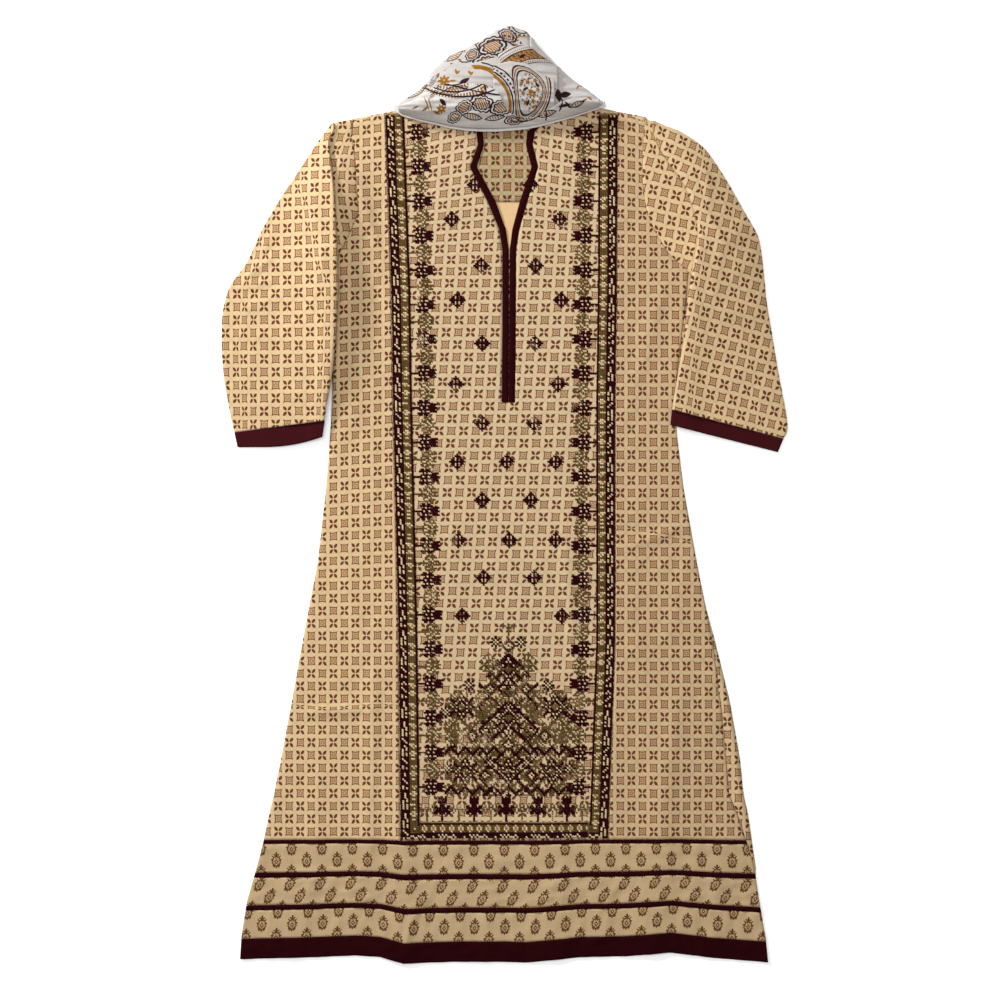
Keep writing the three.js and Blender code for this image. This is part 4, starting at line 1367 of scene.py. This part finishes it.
# %% Central design
STAR = """
.......m.......
......mcm......
.m...mm.mm...m.
.mm..mcmcm..mm.
..mmm.mmm.mmm..
...mcmm.mmcm...
..m.mm.o.mm.m..
mmcm..ooo..mcmm
..m.mm.o.mm.m..
...mcmm.mmcm...
..mmm.mmm.mmm..
.mm..mcmcm..mm.
.m...mm.mm...m.
......mcm......
.......m......."""
TREE = """
.....o.....
....ooo....
...o.o.o...
..oo.o.oo..
.o.oooo..o.
oo..ooo..oo
.o.o.o.o.o.
..ooooooo..
.o..ooo..o.
oo.o.o.o.oo
...oooooo..
.....o.....
.....m.....
....mmm...."""
STEP_DIAMOND = """
....o....
...omo...
..om.mo..
.om.c.mo.
om.cmc.mo
.om.c.mo.
..om.mo..
...omo...
....o...."""
HEART_LEAF = """
.mm...mm.
mccm.mccm
mcoommoocm
.moooooom.
..mooom..
...mom...
....m....
....o....
..o.o.o..
...ooo..."""
LITTLE_STAR = """
...m...
.m.m.m.
..mcm..
mmcocmm
..mcm..
.m.m.m.
...m..."""
FINIAL = """
..o..o..o..
.ooo.o.ooo.
..o.ooo.o..
.....o.....
....ooo....
.....o.....
.....o....."""
DESIGN_X = 5
DESIGN_FOOT = -377
DESIGN_ROWS = 88
HALF_DESIGN = 35
MOTIFS = [  # stitches from the middle, rows up from the foot
    (0, 6, STAR), (13, 7, STEP_DIAMOND), (24, 6, STAR), (10, 15, LITTLE_STAR), (34, 12, LITTLE_STAR),
    (0, 24, STEP_DIAMOND), (10, 28, HEART_LEAF), (20, 29, STEP_DIAMOND), (30, 27, TREE), (0, 36, STAR),
    (14, 40, TREE), (26, 42, STAR), (35, 43, LITTLE_STAR), (0, 52, HEART_LEAF), (10, 55, STEP_DIAMOND),
    (22, 58, LITTLE_STAR), (0, 63, STAR), (11, 66, TREE), (0, 79, STEP_DIAMOND), (7, 82, LITTLE_STAR),
    (0, 89, FINIAL),
]


def mirrored_pair(chart, off, up):
    return (chart_points(chart, DESIGN_X + off * STITCH, DESIGN_FOOT + up * STITCH)
            + chart_points(chart, DESIGN_X - off * STITCH, DESIGN_FOOT + up * STITCH, mirror=True))


def design_cells():
    """The design on a grid of stitches, so that no two stitches share a hole."""
    cells = {}

    def stamp(stitches):
        for x, y, letter in stitches:
            key = (round((x - DESIGN_X) / STITCH), round((y - DESIGN_FOOT) / STITCH - 0.5))
            cells[key] = letter

    for up in range(DESIGN_ROWS):
        reach = HALF_DESIGN + 1 - max(0, up - 50) * 0.35 - 18 * (up > 58) - max(0, up - 70) * 0.5
        for across in range(int(reach)):
            chevron = (across + up) % 13
            counter = (up - across) % 13
            if across < 17 and (chevron in (0, 1) or counter == 6):
                letter = "m"
            elif chevron in (5, 6, 8) or counter in (2, 3) or (across * 7 + up * 5) % 9 in (0, 4):
                letter = "o"
            else:
                continue
            cells[(across, up)] = letter
            cells[(-across, up)] = letter
    for across in range(-HALF_DESIGN, HALF_DESIGN + 1):
        zig = abs(across % 8 - 4)
        for thick in (0, 1):
            cells[(across, zig + thick)] = "m"
            cells[(across, 22 + zig + thick)] = "m"
            if abs(across) < 17:
                cells[(across, 57 + zig + thick)] = "m"
    for off, up, chart in MOTIFS:
        stamp(mirrored_pair(chart, off, up))
    return [(DESIGN_X + a * STITCH, DESIGN_FOOT + (b + 0.5) * STITCH, letter)
            for (a, b), letter in cells.items()]


stitch_piece("central_design", design_cells(), panel_height)

# %% [markdown]
# The dupatta is a thin voile scarf, gathered into folds and laid over the neck. Its print is drawn with
# a few stamps: scalloped clouds, hatched and plain leaves, dots, arcs and ladders. Each fold lists the
# stamps it shows, in millimetres, so that a motif can be moved or added by hand.

# %% Stamps of the scarf print


class Stamps:
    """Draws stamps into a node group that gets the cloth's place in mm and gives two inks."""

    def __init__(self, name):
        self.group, place, self.result = new_group(name, "Place", ["Line", "Mustard"])
        wobble = noise(place, 0.22, 3.0) - 0.5
        self.x, self.y = split(place)
        self.x = self.x + wobble * 1.5
        self.y = self.y + wobble * 1.2
        self.line = self.x * 0.0
        self.gold = self.x * 0.0

    def turned(self, centre_x, centre_y, turn):
        cosine, sine = math.cos(math.radians(turn)), math.sin(math.radians(turn))
        dx, dy = self.x - centre_x, self.y - centre_y
        return dx * cosine + dy * sine, dy * cosine - dx * sine

    def oval(self, centre_x, centre_y, half_a, half_b, turn):
        a, b = self.turned(centre_x, centre_y, turn)
        return ((a / half_a) * (a / half_a) + (b / half_b) * (b / half_b)).sqrt(), a, b

    def dark(self, shape):
        self.line = self.line.larger(shape)

    def mustard(self, shape):
        self.gold = self.gold.larger(shape)

    def cloud(self, x, y, half_a, half_b, turn):
        """A scalloped cloud: two dark outlines round a hatched heart. It covers what is under it."""
        q, a, b = self.oval(x, y, half_a, half_b, turn)
        edge = q + abs((a.angle_to(b) * 4.5).sin()) * -0.15 + 0.1
        outside = edge.above(1.03, 0.02)
        self.line = self.line * outside
        self.gold = self.gold * outside
        self.dark(edge.within(0.9, 1.08, 0.02).larger(edge.within(0.6, 0.76, 0.02)))
        self.mustard((a * 2.0 + b * 1.4).sin().above(-0.5, 0.4) * (1 - edge.above(0.6, 0.03)))

    def hatched_leaf(self, x, y, half_a, half_b, turn):
        a, b = self.turned(x, y, turn)
        room = (1 - (a / half_a) * (a / half_a)) * half_b - abs(b)
        self.dark(room.within(-0.75, 0.5, 0.25))
        self.mustard((a * 1.9 + b * 0.8).sin().above(0.0, 0.4) * room.above(0.8, 0.3))

    def leaf(self, x, y, half_a, half_b, turn):
        a, b = self.turned(x, y, turn)
        return ((1 - (a / half_a) * (a / half_a)) * half_b - abs(b)).above(0.0, 0.3)

    def plain_leaf(self, x, y, half_a, half_b, turn):
        self.dark(self.leaf(x, y, half_a, half_b, turn))

    def gold_leaf(self, x, y, half_a, half_b, turn):
        self.mustard(self.leaf(x, y, half_a, half_b, turn))

    def pair(self, x, y, half_a, half_b, turn):
        """Two small mustard leaves on one point."""
        self.gold_leaf(x, y, half_a, half_b, turn)
        self.gold_leaf(x + 2.4, y - 1.4, half_a, half_b, turn - 70)

    def flower(self, x, y, half_a, half_b, turn):
        q, a, b = self.oval(x, y, half_a, half_b, turn)
        petals = q + (a.angle_to(b) * 7).cos() * 0.22
        self.mustard((1 - petals.above(0.86, 0.06)) * q.above(0.14, 0.05))

    def berries(self, x, y, half_a, half_b, turn):
        """Clusters of dark petals in a field."""
        q, a, b = self.oval(x, y, half_a, half_b, turn)
        cell_a = ((a + b * 0.2) / 9.6).fract() - 0.5
        cell_b = ((b - a * 0.15) / 11.5).fract() - 0.5
        away = (cell_a * cell_a + cell_b * cell_b).sqrt() * 10
        petals = away - (cell_a.angle_to(cell_b) * 3).cos() * 1.5
        field = 1 - q.above(0.86, 0.04)
        self.dark(petals.within(0.7, 2.2, 0.3) * field)
        other_a = ((a + b * 0.2) / 9.6 + 0.5).fract() - 0.5
        other_b = ((b - a * 0.15) / 11.5 + 0.5).fract() - 0.5
        blob = (other_a * other_a + other_b * other_b).sqrt() * 10
        ragged_blob = blob + (other_a.angle_to(other_b) * 5).cos() * 0.7
        self.mustard((1 - ragged_blob.above(2.5, 0.4)) * field)

    def paisley(self, x, y, half_a, half_b, turn):
        """A drop with a bent tip, outlined twice, full of berries."""
        a, b = self.turned(x, y, turn)
        bent = a + b * b * 0.012
        q = ((bent / half_a) * (bent / half_a) + (b / half_b) * (b / half_b)).sqrt()
        outside = q.above(1.2, 0.02)
        self.line = self.line * outside
        self.gold = self.gold * outside
        self.dark(q.within(0.92, 1.0, 0.015).larger(q.within(1.16, 1.24, 0.015)))
        self.mustard(q.within(1.05, 1.12, 0.015))
        self.berries(x, y, half_a, half_b, turn)

    def stroke(self, x, y, radius, half_width, turn, reach=0.12, dashes=0.0):
        """A stroke along a circle about x, y. It shows on the side that turn faces; reach 1 is none."""
        a, b = self.turned(x, y, turn)
        away = (a * a + b * b).sqrt() - radius
        line = (1 - abs(away).above(half_width + 0.2, 0.25)) * a.above(radius * reach, 0.5)
        if dashes:
            line = line * (a.angle_to(b) * (radius / dashes)).sin().above(-0.2, 0.25)
        return line

    def arc(self, *numbers):
        self.dark(self.stroke(*numbers))

    def gold_arc(self, *numbers):
        self.mustard(self.stroke(*numbers))

    def dashed_arc(self, *numbers):
        self.dark(self.stroke(*numbers, dashes=0.9))

    def gold_ribs(self, *numbers):
        self.mustard(self.stroke(*numbers, dashes=0.6))

    def ladder(self, x, y, half_a, half_b, turn):
        """A narrow strip with dark dots up both sides."""
        q, a, b = self.oval(x, y, half_a, half_b, turn)
        dots = ((a * 2.9 + abs(b) * 1.2).sin()).above(0.05, 0.3)
        self.dark(dots * (1 - q.above(1.0, 0.05)) * q.above(0.25, 0.05))

    def rich_band(self, x, y, turn):
        """A broad mustard band with dark strokes, outlined and edged with a dotted white band."""
        a, b = self.turned(x, y, turn)
        b = b + (a - 24) * (a - 24) * 0.007
        strokes = (a * 1.15 + b * 0.9 + (b * 0.8).sin()).sin()
        inside = b.within(-13.0, -0.8, 0.4)
        self.mustard(inside * (0.86 + strokes.above(0.2, 0.5) * 0.14))
        self.dark(inside * strokes.above(0.72, 0.08) * (a * 0.45 + b * 1.7).sin().above(-0.2, 0.3))
        self.dark(b.within(-1.4, 0.2, 0.25).larger(b.within(6.3, 7.5, 0.2)))
        self.dark(b.within(-14.2, -12.8, 0.25).larger(b.within(-19.2, -18.2, 0.2)))
        self.mustard((a * 2.5 + b * 0.4).sin().above(0.2, 0.3) * b.within(1.4, 3.6, 0.3))
        self.mustard((a * 2.2).sin().above(0.1, 0.3) * b.within(-17.4, -15.0, 0.3))

    def close(self):
        feed(self.result, Line=self.line, Mustard=self.gold)
        return self.group


VOILE_THREAD = 0.5 * MM
SCARF_INKS = [("Mustard", (146, 96, 12), 1.0), ("Line", (40, 8, 12), 1.0)]


def scarf_voile(name, stamps, shade=0.0):
    """Off-white voile, thinner than the cotton, printed with rows of stamps of one kind each.

    Shade colours it darker as painted shade, and below 0 lighter as painted light.
    """
    light, deep = 214 - shade, 172 - shade
    design = None
    if stamps:
        drawing = Stamps(name + "_print")
        for kind, *places in stamps:
            for place in places:
                getattr(drawing, kind)(*place)
        design = (drawing.close(), 1, 1)
    return woven(name, (light, light - 5, light - 9), (deep, deep - 10, deep - 18), (0.9, 0.25), design,
                 SCARF_INKS, VOILE_THREAD, relief=0.3, roughness=0.8, sheen=0.06, specular=0.15)


# %% [markdown]
# Now the print of each fold, stamp by stamp, in millimetres on the table. The order matters only at a
# cloud or a paisley, which covers what was stamped there before.

# %% Stamps on each fold
FOLD_STAMPS = {  # kind, then x, y, half length or radius, half width and turn of each stamp
    "dupatta_crown": [
        ("arc", (22, 586, 12, 0.75, 250), (-48, 551, 15, 0.75, -40)),
        ("dashed_arc", (22, 588, 17, 0.9, 250)),
        ("gold_arc", (24, 590, 21, 0.5, 250)),
        ("cloud", (4, 570, 12, 8, -35), (-15, 556, 17, 13, 15), (-22, 533, 18, 13, 10),
         (-40, 546, 9, 7, 40)),
        ("hatched_leaf", (-62, 546, 12, 4.5, 35)),
        ("gold_leaf", (-50, 552, 2.2, 1.2, 60), (-56, 540, 3, 1.4, -20), (-75, 541, 2.2, 1.2, 30),
         (-66, 535, 2.2, 1.2, 10), (-34, 562, 3, 1.2, 35), (10, 584, 4, 1.2, 160),
         (18, 570, 4, 1.4, 60), (2, 551, 5, 1.6, 20), (14, 557, 5, 1.6, -20), (12, 562, 4, 1.8, 30),
         (25, 578, 4, 1.2, -40)),
        ("dashed_arc", (-2, 540, 30, 0.9, 20)),
        ("arc", (-9, 533, 31, 0.75, 60)),
    ],
    "dupatta_right_fall": [
        ("gold_leaf", (50, 528, 6, 1.5, 20), (58, 532, 5, 1.3, 5), (56, 523, 4, 1.1, -60),
         (64, 526, 4, 1.1, -50), (52, 518, 4, 1.1, -70), (57, 512, 4, 1.1, -65),
         (70, 531, 5, 1.2, -15), (91, 506, 4, 1.2, 60), (95, 508, 3, 1.0, 0)),
        ("plain_leaf", (67, 494, 8, 4.2, 100), (75, 495, 8, 3.8, 12)),
        ("arc", (60, 480, 14, 0.75, 70)),
    ],
    "dupatta_left_fold": [
        ("gold_leaf", (-90, 524, 5, 1.3, 60), (-98, 514, 6, 1.3, 50), (-104, 508, 5, 1.3, 35),
         (-96, 506, 4, 1.0, 30), (-64, 511, 5, 1.3, 0), (-84, 503, 6, 1.6, 50),
         (-82, 520, 5, 1.5, 80)),
        ("ladder", (-87, 516, 13, 3.6, 66)),
        ("pair", (-76, 528, 3.2, 1.4, 120), (-60, 523, 3.6, 1.5, 110), (-43, 521, 3.4, 1.5, 125)),
        ("flower", (-75, 512, 7.5, 6.5, 20)),
        ("plain_leaf", (-50, 510, 8, 3.2, 32)),
        ("gold_arc", (-36, 492, 36, 2.5, 42, 0.6)),
        ("arc", (-36, 492, 42, 0.75, 34, 0.7), (-112, 470, 36, 0.75, 70)),
        ("hatched_leaf", (-108, 500, 14, 4.0, 34)),
    ],
    "dupatta_raised_band": [
        ("rich_band", (-4, 538, 22)),
        ("plain_leaf", (22, 541, 5, 2, 30)),
    ],
    "dupatta_centre_fold": [
        ("gold_arc", (-34, 480, 41, 1.8, 14)),
        ("arc", (-34, 480, 45, 0.75, 14), (-31, 480, 51, 0.75, 12)),
        ("dashed_arc", (-33, 480, 48, 0.9, 12)),
        ("paisley", (32, 497, 16, 27, 6)),
        ("gold_leaf", (22, 508, 3.5, 1.4, 60), (30, 512, 3.5, 1.4, 10), (38, 480, 4, 1.6, 0)),
        ("flower", (34, 494, 5, 4, 20)),
        ("plain_leaf", (26, 500, 4, 1.6, 40), (40, 505, 4, 1.6, 120), (29, 484, 4, 1.6, 70)),
        ("cloud", (-14, 478, 11, 8, 20)),
        ("gold_arc", (10, 500, 44, 0.7, 0)),
        ("arc", (10, 500, 47, 0.75, 0)),
    ],
    "dupatta_near_lap": [
        ("arc", (-52, 590, 100, 0.75, 255), (-60, 560, 64, 0.75, 250), (-66, 545, 41, 0.75, 262),
         (-36, 497, 13, 0.75, 10)),
        ("gold_ribs", (-60, 562, 71, 2.4, 262), (-66, 545, 44.5, 1.8, 262), (-36, 497, 9, 2.2, 10)),
        ("ladder", (-86, 496, 11, 2.6, 50)),
        ("hatched_leaf", (-62, 498, 17, 4.2, 12)),
        ("cloud", (-28, 482, 15, 9, -10), (-50, 478, 11, 7, 30), (-4, 478, 14, 8, 10)),
        ("hatched_leaf", (-40, 468, 12, 3.0, -8), (-12, 467, 12, 2.6, 8)),
        ("gold_leaf", (-96, 483, 9, 0.9, 110), (-92, 482, 9, 0.9, 108), (-110, 479, 5, 1.1, 20)),
        ("flower", (-78, 477, 6, 5, 0)),
        ("plain_leaf", (-76, 484, 6, 2.6, -45)),
        ("cloud", (-62, 468, 9, 5.5, 20), (12, 465, 12, 5, 4)),
        ("hatched_leaf", (52, 472, 12, 2.8, 14), (90, 483, 9, 2.2, 20), (26, 467, 18, 3.0, 10)),
        ("gold_leaf", (-84, 473, 5, 1.5, -20), (-98, 477, 5, 1.4, 30), (98, 487, 6, 1.3, 30),
         (106, 490, 4, 1.1, -30)),
        ("arc", (40, 470, 12, 0.75, 60), (30, 820, 330, 0.75, 281)),
        ("plain_leaf", (74, 481, 9, 1.5, 12), (78, 482, 6, 1.3, -40), (70, 480, 6, 1.3, 70)),
    ],
}

# %% [markdown]
# The heap's outline and its showing stretches are the CAD's. Each stretch gets gathers that run along
# it, finer where the cloth is drawn together at the ends.

# %% Dupatta
HEAP = [  # x, far edge, near edge
    (-139, 483, 481), (-127, 492, 473), (-106, 508, 467), (-88, 531, 463), (-68, 548, 458),
    (-48, 557, 455), (-28, 568, 454), (-10, 580, 454), (7, 585.5, 455), (28, 578, 457), (43, 558, 460),
    (62, 538, 465), (84, 518, 471), (105, 504, 478), (126, 487, 485),
]
HEAP_X, HEAP_FAR, HEAP_NEAR = zip(*HEAP)
CORE_RISE = 24
HEAP_LAYER = 2.2
GARMENT_CLEAR = 5.4


def heap_top(x, share):
    length = np.sin(np.pi * np.clip((x + 139) / 265, 0, 1))
    depth = np.sin(np.pi * np.clip(share, 0, 1))
    return GARMENT_CLEAR + CORE_RISE * np.maximum(0, length) ** 0.6 * np.maximum(0, depth) ** 0.7


STRETCHES = [  # name, x0, x1, near0, near1, far0, far1, layer, painted shade: how much darker its voile is coloured, below 0 painted light
    ("dupatta_crown", -93, 57, 0.5, 0.52, 1, 1, 0, 18),
    ("dupatta_right_fall", 32, 122, 0.1, 0.3, 1, 1, 1, 0),
    ("dupatta_left_fold", -132, 4, 0.3, 0.3, 0.9, 0.66, 2, 16),
    ("dupatta_raised_band", -8, 66, 0.46, 0.5, 0.7, 0.95, 3, 8),
    ("dupatta_centre_fold", -14, 62, 0.3, 0.3, 0.6, 0.62, 4, 8),
    ("dupatta_near_lap", -132, 118, 0.06, 0.06, 0.46, 0.4, 5, -10),
]
LAP_EDGE = {  # x: how far up the heap the nearest lap reaches
    -132: 0.5, -104: 0.6, -60: 0.53, -25: 0.44, -8: 0.33, 4: 0.14, 20: 0.09, 40: 0.09, 59: 0.18,
    80: 0.35, 100: 0.6, 118: 0.7,
}


def heap_stretch(name, x0, x1, near0, near1, far0, far1, layer, shade):
    run = np.linspace(0, 1, max(40, int((x1 - x0) / 1.6)))
    depth = np.linspace(0, 1, 40)
    x = np.repeat((x0 + (x1 - x0) * run)[None, :], len(depth), axis=0)
    near = near0 + (near1 - near0) * run
    far = far0 + (far1 - far0) * run
    if name == "dupatta_near_lap":
        near = np.full_like(run, 0.015)
        far = read(LAP_EDGE, x0 + (x1 - x0) * run)
    if name == "dupatta_centre_fold":
        near = 0.3 - 0.24 * smooth(0, 0.28, run)
    share = near[None, :] + (far - near)[None, :] * depth[:, None]
    near_y = np.interp(x, HEAP_X, HEAP_NEAR)
    far_y = np.interp(x, HEAP_X, HEAP_FAR)
    y = near_y + (far_y - near_y) * share
    rise = 0.3 + layer * HEAP_LAYER * smooth(-0.08, 0.3, share)
    edge = np.minimum(1, np.minimum(depth, 1 - depth) / 0.18)[:, None]
    gather = (np.sin(y * 0.55 + np.sin(x * 0.03 + layer) * 3.0 + layer * 1.7) * 0.75
              + np.sin(y * 1.05 + x * 0.06 + layer) * 0.35)
    height = heap_top(x, share) + rise + 1.0 + gather * edge * 0.9
    material = scarf_voile(name.replace("dupatta", "voile"), FOLD_STAMPS[name], shade)
    cloth = cloth_piece(name, laid(x, y, height), np.stack([x, y], axis=2), material, 0.6)
    declare(cloth, name, "scarf_voile", x, y, held="gathered", rests_on=["dupatta_core"])


for stretch in STRETCHES:
    heap_stretch(*stretch)

# %% [markdown]
# The white selvedge runs along the near edge. The scarf's hidden layers under the heap are one plain
# rounded body of folded cloth.

# %% Selvedge and hidden layers
plain_voile = scarf_voile("plain_voile", [])
# The selvedge voile is coloured lighter: partly its own white, partly painted light where its slope faces
# away from the lamp.
white_voile_painted_light = scarf_voile("white_voile_painted_light", [], -30)
run_x = np.linspace(-139, 126, 160)
out = np.linspace(-1, 7.5, 7)
x = np.repeat(run_x[None, :], len(out), axis=0)
y = np.interp(x, HEAP_X, HEAP_NEAR) + out[:, None]
height = GARMENT_CLEAR + 1.0 + 0.3 * np.sin(np.pi * (out + 1) / 8.5)[:, None] + 0.15 * np.sin(x * 0.4)
selvedge = cloth_piece("dupatta_selvedge", laid(x, y, height), np.stack([x, y], axis=2), white_voile_painted_light, 0.7)
cut_x, cut_y = straightened(x, y, along=1)
declare(selvedge, "dupatta_selvedge", "scarf_voile", cut_x, cut_y, held="folded",
        rests_on=["front_centre_panel"])

core_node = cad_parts["dupatta_core"]
core_mesh = core_node.data.copy()
core_mesh.materials.clear()
core_mesh.materials.append(plain_voile)
core = bpy.data.objects.new("dupatta_core_layers", core_mesh)
scene.collection.objects.link(core)
uv_layer = core_mesh.uv_layers.new(name="cloth")
for loop in core_mesh.loops:
    place = core_mesh.vertices[loop.vertex_index].co
    uv_layer.data[loop.index].uv = (place.x, place.y)
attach(core, "root")
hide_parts("dupatta_core")
